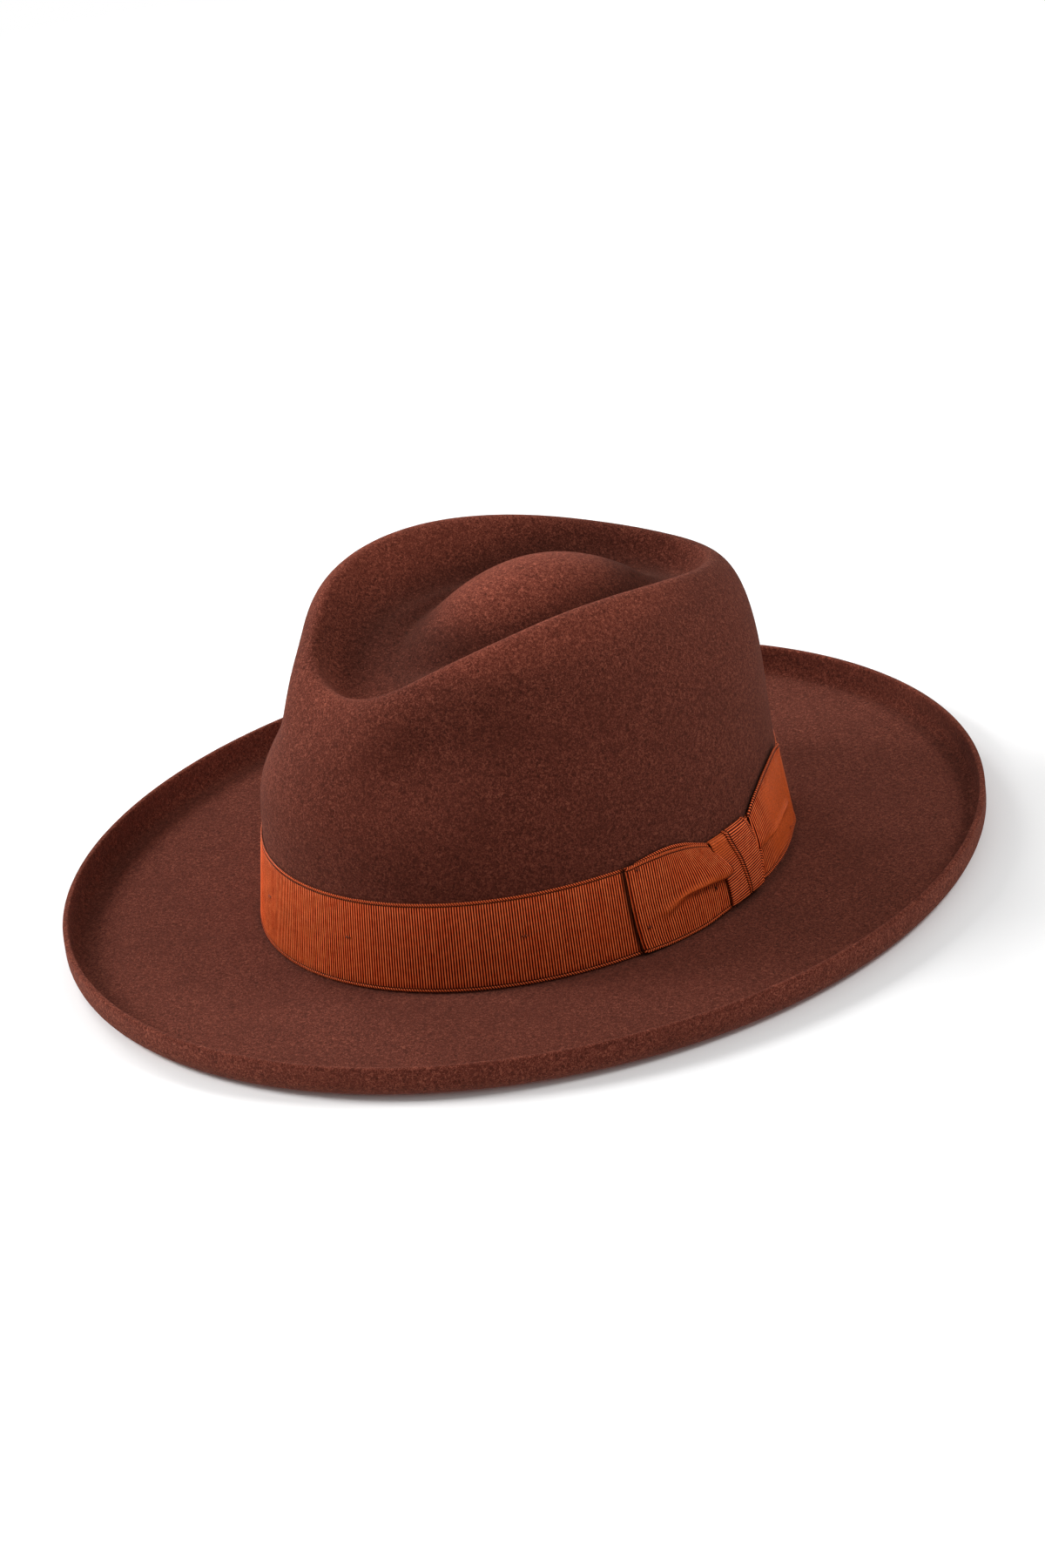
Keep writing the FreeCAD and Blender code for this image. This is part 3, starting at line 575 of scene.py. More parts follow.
# The wrap of the bow draws the band together. Length from the bow's front edge, height
BAND_UPPER = [(-10, 33), (8, 32.8), (18, 31.0), (28, 28.2), (36, 26.2), (46, 26.4), (58, 26.6),
              (66, 29.0), (74, 31.6), (84, 33.0), (96, 33.0), (106, 32.2), (128, 32.2),
              (145, 33.0)]
BAND_LOWER = [(6, 0.0), (22, 0.5), (34, 2.4), (46, 3.4), (58, 3.6), (68, 2.8), (82, 1.4),
              (104, 0.0), (130, 0.0)]
# Lean of the front loop's free edge: height, shift along the band
FRONT_SLANT = [(0.6, 1.3), (4.6, 0.5), (10.7, -0.2), (17.4, -0.7), (23.3, -0.9), (30.7, -1.1),
               (33.4, -1.3)]


def ribbon_band():
    ribs = int(round(BAND_LENGTH / PITCH))
    pitch = BAND_LENGTH / ribs
    count = ribs * RIB_STEPS
    along, across = grid(np.arange(count) * (BAND_LENGTH / count), across_steps(BAND_WIDTH, 12))
    angle = angle_at(along)
    from_bow = along - BOW_START
    upper, lower = smooth_curve(from_bow, BAND_UPPER), smooth_curve(from_bow, BAND_LOWER)
    out = 0.42 - 0.30 * np.interp(from_bow, [90, 100, 132, 150], [0, 1, 1, 0])
    out += 0.10 * noise(stack(50 * np.cos(angle), 50 * np.sin(angle) * 2, across * 0.6), 20, 2)
    # the ribbon dips at each tack stitch and swells a little about it
    for degrees in TACK_ANGLES:
        tack = np.interp(math.radians(degrees), ARC_ANGLES, ARC_LENGTHS)
        near = (along - tack + BAND_LENGTH / 2) % BAND_LENGTH - BAND_LENGTH / 2
        above = across - TACK_HEIGHT
        out -= 0.30 * np.exp(-(near / 3.0) ** 2 - (above / 0.9) ** 2)
        out += 0.12 * np.exp(-(near / 9.0) ** 2 - (above / 7.0) ** 2)
    z = BAND_FOOT + lower + (upper - lower) * across / BAND_WIDTH
    base, normal = lay(wall, angle, z, out, wrap=True)
    # deep shade where the front loop's free end stands over the band
    shade = np.exp(-((from_bow - line_through(across, FRONT_SLANT) + 0.5) / 1.1) ** 4)
    return ribbon_sheet("ribbon_band_grosgrain", base, normal,
                        rib_height(along, across, BAND_WIDTH, pitch=pitch), 0.30,
                        stack(along / pitch, across), wrap=True, shade=shade)


band = ribbon_band()


# ---------------------------------------------------------------- bow
def bspline(control, count):
    """Clamped uniform cubic B-spline through a (rows, columns, parts) control array."""
    rows = len(control)
    padded = np.concatenate([control[:1]] * 2 + [control] + [control[-1:]] * 2)
    place = np.linspace(0, rows + 1 - 1e-6, count)
    i = place.astype(int)
    x = (place - i)[:, None, None]
    weights = [(1 - x) ** 3 / 6, (3 * x ** 3 - 6 * x ** 2 + 4) / 6,
               (-3 * x ** 3 + 3 * x ** 2 + 3 * x + 1) / 6, x ** 3 / 6]
    return sum(weight * padded[i + k] for k, weight in enumerate(weights))


def bow_loop(name, direction, free_end, length, ends, upper_keys, lower_keys, fold_keys,
             fold_from, depth, seed, slant, painted_sheen=0.0):
    """One loop of the bow, flat at its free end and pinched towards the wrap into a round fold.
    Keys are (distance from the free end, height above the band's lower edge). Direction is +1
    if the wrap lies at greater lengths; ends are the lengths of lines in the upper lobe."""
    columns = 170
    along = rib_steps(length)
    fold = smooth01((along - fold_from) / (length - 4.0 - fold_from))
    shorten = smooth01((along - fold_from * 0.8) / (length - fold_from * 0.8))
    low, crease = smooth_curve(along, lower_keys), smooth_curve(along, fold_keys)

    def upper(share, end):
        reach = along + shorten * (end - length)
        bottom = smooth_curve(reach, fold_keys)
        return bottom + share * (smooth_curve(reach, upper_keys) - bottom)

    puff, lap, rest = depth * fold, 3.6 * fold, 1.62
    # the section from the top edge, round the fold, to the low edge: height, distance out, length
    section = [
        (upper(1.0, ends[0]), rest - 0.35 * fold, ends[0]),
        (upper(0.74, ends[1]), rest + 0.30 * puff, ends[1]),
        (upper(0.46, ends[2]), rest + 0.72 * puff, ends[2]),
        (upper(0.20, ends[3]), rest + 1.10 * puff, ends[3]),
        (crease - 0.2 * fold, rest + 1.22 * puff, ends[4]),
        (crease - 1.5 * fold, rest + 0.86 * puff, ends[4] - 0.5),
        (crease - 1.2 * fold, rest + 0.30 * puff, ends[4] - 1.4),
        (crease + lap, rest + 0.10 * puff, length - 1.0),
        (crease + lap * 0.9, rest - 0.42 * fold, length - 0.5),
        (crease - 0.8, rest - 0.52 * fold, length),
        (low + 0.62 * (crease - low), rest - 0.36 * fold, length),
        (low + 0.3 * (crease - low), rest - 0.28 * fold, length),
        (low, rest - 0.45 * fold, length),
    ]
    heights, outs, reaches = zip(*section)
    curve = bspline(stack(np.stack(heights), np.stack(outs)), columns)
    height, out = curve[..., 0].T, curve[..., 1].T
    reaches = bspline(np.array(reaches)[:, None, None], columns)[:, 0, 0]
    pieces = np.hypot(np.diff(height, axis=1), np.diff(out, axis=1))
    across = np.concatenate([np.zeros((len(along), 1)), np.cumsum(pieces, axis=1)], 1)
    width = across[:, -1:]
    dist = np.broadcast_to(along[:, None], height.shape)
    # the free end is a folded-over edge that stands up and rolls down to the band
    out = out + 0.45 * np.exp(-((dist - 1.6) / 3.2) ** 2) - 0.42 * quarter_round((0.5 - dist) / 0.5)
    # where the fold starts, a soft crest rises along the line of the crease
    above = height - line_through(dist, fold_keys)
    crest = (smooth01((dist - fold_from * 0.55) / 8.0)
             * (1 - smooth01((dist - (length - 16.0)) / 9.0)))
    out += 0.85 * crest * np.exp(-((above + 0.4) / 1.5) ** 2)
    out -= 0.30 * crest * np.exp(-((above + 3.6) / 1.8) ** 2)
    # at the wrap the upper lobe rolls down on to it; the lower part slips underneath
    left = length - dist
    lobe = smooth01((length - 1.2 - reaches[None, :]) / 1.5)
    out = (out - quarter_round((1.7 - left) / 1.7) * lobe * np.clip(out - 1.7, 0, 9) * 0.8
           - (1 - lobe) * 0.35 * smooth01((4.0 - left) / 3.0))
    out = out + noise(stack(dist, height, out) + seed, 12, 2) * 0.15 * smooth01(dist / 6)
    lean = line_through(height, slant) * (1 - smooth01(dist / (length * 0.8)))
    run = dist + shorten[:, None] * (reaches[None, :] - length)
    angle = angle_at(BOW_START + free_end + direction * run + lean)
    base, normal = lay(wall, angle, BAND_FOOT + height, out, columns=columns // 4)
    # painted highlight: smooth bright colour along the fold's crest and, by the given strength,
    # over the back loop's flat inside; the ribs are lowered there
    gloss = (0.9 * smooth01((dist - fold_from * 0.5) / 9.0) * smooth01((left - 1.0) / 5.0)
             * np.exp(-((above + 0.2) / 1.5) ** 2))
    gloss = np.maximum(gloss, painted_sheen
                       * smooth01((height - line_through(dist, lower_keys) - 1.8) / 2.0)
                       * smooth01((line_through(dist, upper_keys) - height - 1.8) / 2.0)
                       * smooth01((36.0 - dist + 0.25 * (height - 18.0)) / 8.0))
    relief = rib_height(dist, across, width) * (1 - 0.75 * gloss)
    weave = np.where(across < width / 2, across, BAND_WIDTH - (width - across))
    return ribbon_sheet(name, base, normal, relief, 0.34, stack(dist / PITCH, weave), gloss=gloss)


front_loop = bow_loop(
    "bow_front_loop", direction=1.0, free_end=0.0, length=44.8,
    ends=[35.9, 39.1, 41.8, 43.6, 44.2],
    upper_keys=[(0, 33.4), (8.4, 33.7), (18.1, 33.5), (26, 32.0), (31.1, 30.4), (37.2, 27.6),
                (46, 24.0)],
    lower_keys=[(0, 0.6), (9.5, -0.2), (19, -0.3), (30, -0.1), (37, 0.6), (46, 1.2)],
    fold_keys=[(0, 12.0), (14, 13.0), (18.2, 14.6), (22.6, 15.9), (32.4, 16.4), (36.7, 15.8),
               (40.5, 15.2), (46, 15.4)],
    fold_from=14.0, depth=2.5, seed=3.0, slant=FRONT_SLANT)
back_loop = bow_loop(
    "bow_back_loop", direction=-1.0, free_end=104.5, length=46.5,
    ends=[43.0, 43.2, 43.4, 43.6, 44.0],
    upper_keys=[(0, 36.0), (3, 36.9), (10, 37.6), (16.3, 37.5), (24.5, 36.3), (32.5, 34.0),
                (39.5, 30.9), (43.5, 27.8), (47, 25.5)],
    lower_keys=[(0, 4.6), (6.9, 3.6), (16.5, 2.5), (25.3, 1.9), (32, 1.8), (37.7, 1.5), (46, 2.6)],
    fold_keys=[(0, 15.0), (12, 15.8), (18.6, 16.2), (36.8, 16.0), (46, 16.0)],
    fold_from=7.0, depth=1.9, seed=9.0, slant=[(0.6, 0.6), (17.4, 0.3), (33.4, -0.6)], painted_sheen=0.85)


def back_layer(name, start, end, lower_keys, upper_keys):
    """A loop's back layer, flat against the band. Keys are (length from BOW_START, height)."""
    width = 30.0
    along, across = grid(rib_steps(end - start), across_steps(width, 8))
    lower, upper = [smooth_curve(along + start, keys) for keys in (lower_keys, upper_keys)]
    height = lower + (upper - lower) * across / width
    base, normal = lay(wall, angle_at(BOW_START + start + along), BAND_FOOT + height, 1.02)
    relief = 0.6 * rib_height(along, across, width, peak=0.1)
    return ribbon_sheet(name, base, normal, relief, 0.22, stack(along / PITCH, across * 1.1))


front_layer = back_layer(
    "bow_front_back_layer", 2.6, 44.0, [(0, 0.9), (30, 0.6), (44, 2.6)],
    [(0, 32.8), (6, 34.1), (14, 34.7), (20, 34.5), (27, 32.8), (32, 30.4), (44, 25.5)])
rear_layer = back_layer(
    "bow_back_back_layer", 58.0, 103.4, [(58, 3.4), (70, 2.8), (103, 4.4)],
    [(58, 26.0), (68, 30.2), (80, 34.0), (92, 35.0), (103, 34.0)])


def wrap_part(name, near_keys, far_keys, rest, bulge, bottom, top, under):
    """Part of the wrap, whose ribs run along the band. Keys give its edges as (height, length
    from BOW_START). The under part has no low cord, and has a painted highlight on its upper part."""
    share = np.linspace(-0.10, 1.10, int(30 / PITCH * RIB_STEPS))
    level = bottom + (top - bottom) * np.clip(share, 0, 1)
    near, far = smooth_curve(level, near_keys), smooth_curve(level, far_keys)
    width = float(np.mean(far - near))
    crossing = across_steps(width, 36, low_cord=not under)
    rise, across = grid(share, crossing / width)
    angle = angle_at(BOW_START + near[:, None] + (far - near)[:, None] * across)
    height = (level[:, None]
              + (across - 0.5) * np.clip(np.minimum(rise, 1 - rise) / 0.1, 0, 1))
    out = rest + bulge * np.sin(np.pi * across) ** 0.7
    # at the top and bottom the wrap turns in towards the felt
    over = np.maximum(rise - 0.95, 0.05 - rise)
    turn = np.clip(over / 0.15, 0, 1) * np.pi / 2
    push = 1.5 * np.sin(turn)
    height = height + np.where(rise > 0.5, push, -push) * np.clip(over / 0.05, 0, 1) * 0.55
    out = out - (out - 0.55) * (1 - np.cos(turn))
    base, normal = lay(wall, angle, BAND_FOOT + height, out)
    pieces = np.linalg.norm(np.diff(base[:, len(crossing) // 2], axis=0), axis=1)
    along, across = grid(np.concatenate([[0], np.cumsum(pieces)]), crossing)
    weave = np.where(across < width / 2, across + (2.0 if under else 0.0),
                     BAND_WIDTH - (width - across))
    # painted highlight on the upper part of the under strip
    gloss = ((0.75 if under else 0.0) * smooth01((height - 16.0) / 8.0)
             * smooth01((0.95 - across / width) / 0.4))
    relief = rib_height(along, across, width, low_cord=not under, cord_peak=0.22)
    return ribbon_sheet(name, base, normal, relief * (1 - 0.6 * gloss), 0.34,
                        stack(along / PITCH, weave), gloss=gloss)


bow_wrap = join([
    wrap_part("bow_knot_wrap_0",
              near_keys=[(2.4, 42.1), (12.0, 42.0), (20.0, 39.6), (28.0, 36.6)],
              far_keys=[(2.4, 54.4), (12.0, 53.4), (20.0, 51.0), (28.0, 47.4)],
              rest=2.35, bulge=0.2, bottom=2.4, top=27.6, under=True),
    wrap_part("bow_knot_wrap_1",
              near_keys=[(2.4, 52.2), (6.7, 51.9), (11.4, 51.1), (17.1, 49.8), (22.4, 47.5),
                         (28.0, 44.8)],
              far_keys=[(2.4, 61.2), (4.5, 61.5), (8.2, 62.7), (12.0, 63.6), (16.6, 63.2),
                        (22.2, 60.8), (28.0, 58.0)],
              rest=2.95, bulge=0.25, bottom=2.6, top=28.0, under=False),
], "bow_knot_wrap")


# ---------------------------------------------------------------- thread stitches
def stitches(name, places, radius, length, bow=0.35):
    """Short twisted threads, arched in the middle and diving in at their ends.
    Places are (centre, direction along, direction out)."""
    verts, quads, tris = [], [], []
    rings, sides = 13, 10
    for centre, along, out in places:
        centre, along, out = [np.asarray(part, float) for part in (centre, along, out)]
        along = along / np.linalg.norm(along)
        out = out - along * (along @ out)
        out /= np.linalg.norm(out)
        side = np.cross(along, out)
        base = len(verts)
        for i in range(rings):
            x = -1 + 2 * i / (rings - 1)
            thick = radius * max(0.12, math.sqrt(max(0.0, 1 - abs(x) ** 5)))
            middle = centre + along * (x * length / 2) + out * (bow * (1 - x * x) - bow * 0.5)
            for j in range(sides):
                turn = TAU * j / sides
                reach = thick * (1 + 0.16 * math.cos(2 * turn + 7.0 * x))
                verts.append(middle + side * (reach * math.cos(turn))
                             + out * (reach * math.sin(turn)))
        tip = len(verts)
        last = tip - sides
        for end in (-1, 1):
            verts.append(centre + along * (end * length / 2) - out * bow * 0.5)
        for j in range(sides):
            k = (j + 1) % sides
            tris += [(base + k, base + j, tip), (last + j, last + k, tip + 1)]
        for start in range(base, last, sides):
            for j in range(sides):
                k = (j + 1) % sides
                quads.append((start + j, start + k, start + sides + k, start + sides + j))
    return make_mesh(name, np.array(verts), quads, tris)


def place_on(surface, degrees, z, out):
    """A point on a surface, with its directions around and out."""
    angle = math.radians(degrees)
    point = surface(angle, z, out)
    return point, surface(angle + 0.002, z, out) - point, surface(angle, z, out + 1.0) - point


band_tacks = stitches("band_tack_threads",
                      [place_on(wall, degrees, BAND_FOOT + TACK_HEIGHT, 0.62)
                       for degrees in TACK_ANGLES], radius=0.30, length=2.6)
bow_places = [place_on(wall, 84.3, 34.6, 2.35), place_on(wall, 84.8, 12.6, 2.35),
              place_on(wall, 102.6, 14.2, 1.75), place_on(wall, 137.0, 9.5, 1.75)]
# the third stands nearly upright
bow_places[2] = (bow_places[2][0], (0, 0.4, 1.0), bow_places[2][2])
bow_tacks = stitches("bow_tack_threads", bow_places, radius=0.28, length=2.0)

# ---------------------------------------------------------------- sweatband
LEATHER_FOOT = Ring(83.0, 99.1, 0.0, 0.0, 1.6)
LEATHER_TOP = Ring(76.9, 93.6, 0.0, 0.0, 46.6)
LEATHER = 0.9                                        # thickness
LEATHER_ANGLES = around(480)
SMALL_BOW_Z = 9.0
SMALL_BOW_RADIUS = 80.5                              # turns lengths into angles


def leather(angle, z, out):
    """Points on the leather's outer face; out is towards the felt."""
    return cone(LEATHER_FOOT, LEATHER_TOP, angle, z, out)


def leather_strip():
    levels = [1.75, 2.2] + list(np.linspace(3, 44.5, 24)) + [45.6, 46.2]
    top = levels[-1]

    def ring(z, out):
        return leather(LEATHER_ANGLES, z, out)

    def relax(z):
        """The leather leans inwards a little between its seam and its top edge."""
        wander = noise(ring(z, 0) * np.array([1, 1, 0.4]), 38, 2)
        return -(0.25 + 0.25 * wander) * np.clip((z - 6) / 30, 0, 1)

    rings = [ring(z, relax(z) - 0.02) for z in levels]
    for sin, cos in turns(60, 90, 120):
        rings.append(ring(top + 0.42 * sin, relax(top) - 0.45 + 0.42 * cos))
    for z in reversed(levels):
        bead = 0.10 * math.exp(-((z - 4.6) / 0.5) ** 2)
        rings.append(ring(z, relax(z) - LEATHER + 0.02 - bead))
    rings += [ring(1.62, -0.7), ring(1.62, -0.2)]
    return closed_rings("sweatband_leather_strip", rings)


def leather_patch(name, degrees, half_width, bottom, top, out, thick, puff):
    """Thin piece on the felt side of the leather, centred at an angle."""
    count = 24
    centre = math.radians(degrees)
    radius = float(np.linalg.norm(leather(centre, (bottom + top) / 2, 0)[:2]))
    angles = centre + np.linspace(-half_width, half_width, count) / radius * 1.18
    angle, z = grid(angles, np.linspace(bottom, top, count))
    x, y = grid(np.linspace(-1, 1, count), np.linspace(-1, 1, count))
    base, normal = lay(leather, angle, z, out + puff(x, y))
    return ribbon_sheet(name, base, normal, 0.0, thick, stack(x * half_width, z - bottom))


def zigzag_threads():
    places = []
    for i in range(19):
        z = 5.5 + i * 2.05
        point, along, out = place_on(leather, 180.0, z, 0.50)
        rise = leather(math.pi, z + 1, 0.50) - point
        slant = along / np.linalg.norm(along) * (1.7 if i % 2 else -1.7) + rise * 2.0
        places.append((point, slant, out))
    return stitches("sweatband_zigzag_threads", places, radius=0.16, length=2.6, bow=0.12)


def small_bow_loop(name, side):
    """Flattened loop of narrow ribbon, pinched beside the knot."""
    half_length, half_height = 6.6, 3.6
    along, across = grid(np.linspace(0, 1, 60), np.linspace(-1, 1, 30))
    angle = math.pi - side * (1.6 + along * half_length * 2) / SMALL_BOW_RADIUS
    z = SMALL_BOW_Z + across * half_height * (0.62 + 0.38 * smooth01(along / 0.35))
    out = (0.30 + 0.75 * np.sin(np.pi * along ** 0.75) ** 0.7
           + 0.18 * np.cos(across * np.pi * 1.5) * (1 - along) + 0.05 * np.cos(across * 30))
    base, normal = lay(leather, angle, z, -LEATHER - out, side=-1.0)
    return ribbon_sheet(name, base, normal, 0.0, np.clip(out - 0.16, 0.14, 3.0),
                        stack(along * half_length * 2, across * half_height))


def small_bow_knot():
    along, across = grid(np.linspace(-1, 1, 36), np.linspace(-1, 1, 30))
    angle = math.pi - along * 1.55 * (1 - 0.12 * np.cos(across * np.pi)) / SMALL_BOW_RADIUS
    out = (0.35 + 1.0 * np.clip(1 - along ** 2, 0, 1) ** 0.5
           * np.clip(1 - across ** 4, 0, 1) ** 0.5
           + 0.06 * np.cos(along * 14) * (1 - across ** 2))
    base, normal = lay(leather, angle, SMALL_BOW_Z + across * 2.9, -LEATHER - out, side=-1.0)
    return ribbon_sheet("sweatband_ribbon_knot", base, normal, 0.0, out - 0.2,
                        stack(across * 3.0, along * 1.6))


def seam_threads():
    """Stitches pointing outwards, all round beneath the sweatband's foot."""
    places = []
    for i in range(72):
        inner, outer = [ellipse_offset(LEATHER_FOOT.half_x + 1.0, LEATHER_FOOT.half_y + 1.0, 0,
                                       TAU * (i + 0.5) / 72, 1.22, out) for out in (0, 1)]
        places.append((inner, outer - inner, -UP))
    return stitches("sweatband_seam_threads", places, radius=0.19, length=1.6, bow=0.12)


sweatband = leather_strip()
seam_tape = leather_patch("sweatband_seam_tape", 180.0, 3.4, 4.3, 43.6, out=0.42, thick=0.26,
                          puff=lambda x, y: 0.05 * np.cos(y * 60))
zigzag = zigzag_threads()
small_loops = join([small_bow_loop("loop0", -1), small_bow_loop("loop2", 1)],
                   "sweatband_ribbon_loops")
small_knot = small_bow_knot()
label = leather_patch("size_label_tab", 150.0, 7.6, 14.3, 33.6, out=0.55, thick=0.16,
                      puff=lambda x, y: 0.10 * np.sin(y * 2.2 + x) + 0.05 * (np.abs(x) > 0.9))
seam = seam_threads()

# ---------------------------------------------------------------- lining
LINING_GAP, LINING = 0.45, 0.3                       # clearance from the felt, thickness
LINING_TOP_Y, LINING_TOP_Z = CREST_MID_Y, 87.0
LINING_ANGLES = around(720)
LOW_LINING = [wall(LINING_ANGLES, z, 0.0) for z in np.linspace(26.3, 35.0, 5)]
LINING_GUIDE = np.concatenate([np.stack(LOW_LINING),
                               crown_rings(LINING_ANGLES, steps(1, 2.75, 26) + [2.75])])
LINING_INWARD = -ring_normals(LINING_GUIDE)


def lining_edge(inset):
    """The lining's top ring, set further in."""
    return LINING_GUIDE[-1] + LINING_INWARD[-1] * (FELT + LINING_GAP + LINING + inset)


def lining_side():
    """Side of the lining, gathered more and more towards its top."""
    rise = np.linspace(0, 1, len(LINING_GUIDE))[:, None]
    waves = 0.5 + 0.5 * np.cos(LINING_ANGLES * 96 + 1.3 * np.sin(LINING_ANGLES * 7))
    inward = FELT + LINING_GAP + 0.05 + waves[None, :] * (0.10 + 0.55 * rise ** 1.5)
    outer = LINING_GUIDE + LINING_INWARD * inward[..., None]
    inner = LINING_GUIDE + LINING_INWARD * (inward + LINING)[..., None]
    return closed_rings("lining_side_satin", list(outer) + list(inner[::-1]))


def lining_tip():
    rim = lining_edge(1.6)
    shares = list(np.linspace(0, 0.97, 30))

    def ring(share, lift):
        points = stack(rim[:, 0] * (1 - share),
                       LINING_TOP_Y + (rim[:, 1] - LINING_TOP_Y) * (1 - share),
                       rim[:, 2] + (LINING_TOP_Z - rim[:, 2]) * smooth01(share) + lift)
        swell = 0.5 * math.sin(math.pi * min(1, share * 1.2)) * (1 - share)
        points[:, 2] += (noise(points * FLAT, 30, 2) * swell
                         - 0.25 * np.cos(LINING_ANGLES * 48) * math.exp(-share * 14))
        return points

    return capped_rings("lining_tip_satin", [ring(share, 0.0) for share in reversed(shares)]
                        + [ring(share, LINING) for share in shares])


def lining_piping():
    centre, out = lining_edge(1.35), wall_out(LINING_ANGLES)
    rings = []
    for j in range(14):
        turn = TAU * j / 14
        radius = 0.42 * (1 + 0.13 * np.cos(3 * turn + LINING_ANGLES * 330))
        rings.append(centre + out * (0.45 + radius * math.cos(turn))[:, None]
                     + UP * (0.15 + radius * math.sin(turn))[:, None])
    return closed_rings("lining_piping_cord", rings)


lining = lining_side()
tip = lining_tip()
piping = lining_piping()


# ---------------------------------------------------------------- shader helpers
def srgb(*levels):
    """Linear colour from 0..255 levels."""
    return tuple(((level / 255 + 0.055) / 1.055) ** 2.4 if level > 10.3 else level / 255 / 12.92
                 for level in levels) + (1.0,)


def scaled(color, factor):
    return tuple(part * factor for part in color[:3]) + (1,)


class Graph:
    """Shader nodes of a material or world. A value may be a number, a colour or a socket."""

    def __init__(self, owner):
        owner.use_nodes = True
        self.owner = owner
        self.tree = owner.node_tree

    def feed(self, socket, value):
        if isinstance(value, bpy.types.NodeSocket):
            self.tree.links.new(value, socket)
        else:
            socket.default_value = value

    def new(self, kind, **settings):
        """New node; settings are its properties or inputs, with _ for a space."""
        node = self.tree.nodes.new(kind)
        for name, value in settings.items():
            if name in node.bl_rna.properties.keys():
                setattr(node, name, value)
            else:
                self.feed(node.inputs[name.replace("_", " ")], value)
        return node

    def surface(self, **inputs):
        shader = self.tree.nodes["Principled BSDF"]
        for name, value in inputs.items():
            self.feed(shader.inputs[name.replace("_", " ")], value)
        return shader.outputs[0]

    def coord(self, kind="Object"):
        return self.new("ShaderNodeTexCoord").outputs[kind]

    def attribute(self, name):
        return self.new("ShaderNodeAttribute", attribute_name=name).outputs["Fac"]

    def noise(self, coord, scale, detail=2.0, rough=0.5, distortion=0.0, output="Fac"):
        return self.new("ShaderNodeTexNoise", Scale=scale, Detail=detail, Roughness=rough,
                        Distortion=distortion, Vector=coord).outputs[output]

    def wave(self, coord, direction, scale, distortion):
        return self.new("ShaderNodeTexWave", wave_type="BANDS", bands_direction=direction,
                        Scale=scale, Distortion=distortion, Vector=coord).outputs["Fac"]

    def occlusion(self, samples, distance):
        return self.new("ShaderNodeAmbientOcclusion", samples=samples,
                        Distance=distance).outputs["AO"]

    def math(self, operation, *values, clamp=False):
        node = self.new("ShaderNodeMath", operation=operation, use_clamp=clamp)
        for socket, value in zip(node.inputs, values):
            self.feed(socket, value)
        return node.outputs[0]

    def add(self, first, second):
        return self.math("ADD", first, second)

    def times(self, first, second):
        return self.math("MULTIPLY", first, second)

    def centred(self, value, gain):
        return self.times(self.math("SUBTRACT", value, 0.5), gain)

    def excess(self, first, second, gain):
        """(first - second) * gain, kept within 0..1."""
        over = self.math("SUBTRACT", first, second, clamp=True)
        return self.math("MULTIPLY", over, gain, clamp=True)

    def unit_wave(self, operation, value):
        """Sine or cosine brought into 0..1."""
        return self.add(self.times(self.math(operation, value), 0.5), 0.5)

    def ramp(self, value, stops):
        node = self.new("ShaderNodeValToRGB", Fac=value)
        elements = node.color_ramp.elements
        elements[0].position, elements[0].color = stops[0]
        elements[1].position, elements[1].color = stops[-1]
        for position, color in stops[1:-1]:
            elements.new(position).color = color
        return node.outputs["Color"]

    def mix(self, share, first, second):
        node = self.new("ShaderNodeMix", data_type="RGBA")
        for i, value in ((0, share), (6, first), (7, second)):
            self.feed(node.inputs[i], value)
        return node.outputs[2]

    def mix_shader(self, share, first, second):
        node = self.new("ShaderNodeMixShader")
        for socket, value in zip(node.inputs, (share, first, second)):
            self.feed(socket, value)
        return node.outputs[0]

    def bump(self, height, strength, distance, **normal):
        return self.new("ShaderNodeBump", Strength=strength, Distance=distance, Height=height,
                        **normal).outputs["Normal"]


def material_graph(name):
    return Graph(bpy.data.materials.new(name))


# ---------------------------------------------------------------- materials
def felt_material(name):
    """Brushed felt: speckled nap, slow mottling and a faint lighter sheen."""
    dark, base, light = srgb(52, 22, 15), srgb(93, 42, 31), srgb(150, 82, 64)
    graph = material_graph(name)
    coord = graph.coord()
    fibre = graph.noise(coord, scale=980, detail=4.0, rough=0.78, distortion=1.0)
    speck = graph.noise(coord, scale=2600, rough=0.6)
    blot = graph.noise(coord, scale=62, detail=3.0, rough=0.55)
    slow = graph.noise(coord, scale=14)
    nap = graph.add(graph.times(fibre, 0.68), graph.times(speck, 0.32))
    color = graph.ramp(nap, [(0.38, dark), (0.5, base), (0.63, light)])
    color = graph.mix(graph.excess(blot, 0.42, gain=1.1), color, scaled(base, 0.70))
    color = graph.mix(graph.excess(slow, 0.5, gain=0.7), color, scaled(base, 1.18))
    # contact shade beside the band
    shade = graph.excess(0.86, graph.occlusion(samples=3, distance=0.004), gain=1.2)
    shade = graph.times(shade, graph.attribute("beside"))
    color = graph.mix(shade, color, scaled(dark, 0.3))
    # painted light and shade: the colour is scaled by the stored tone, lighter on ridges, dome,
    # front and rim, darker in the trough; partly wear on the ridges
    tone = graph.new("ShaderNodeVectorMath", operation="SCALE", Vector=color,
                     Scale=graph.attribute("painted_shading_and_wear"))
    normal = graph.bump(fibre, strength=0.75, distance=0.0006)
    normal = graph.bump(speck, strength=0.45, distance=0.0003, Normal=normal)
    normal = graph.bump(blot, strength=0.2, distance=0.0005, Normal=normal)
    graph.surface(Base_Color=tone.outputs[0], Normal=normal, Roughness=1.0,
                  Specular_IOR_Level=0.06, Sheen_Weight=0.10, Sheen_Roughness=0.55,
                  Sheen_Tint=(0.80, 0.42, 0.32, 1))
    return graph.owner


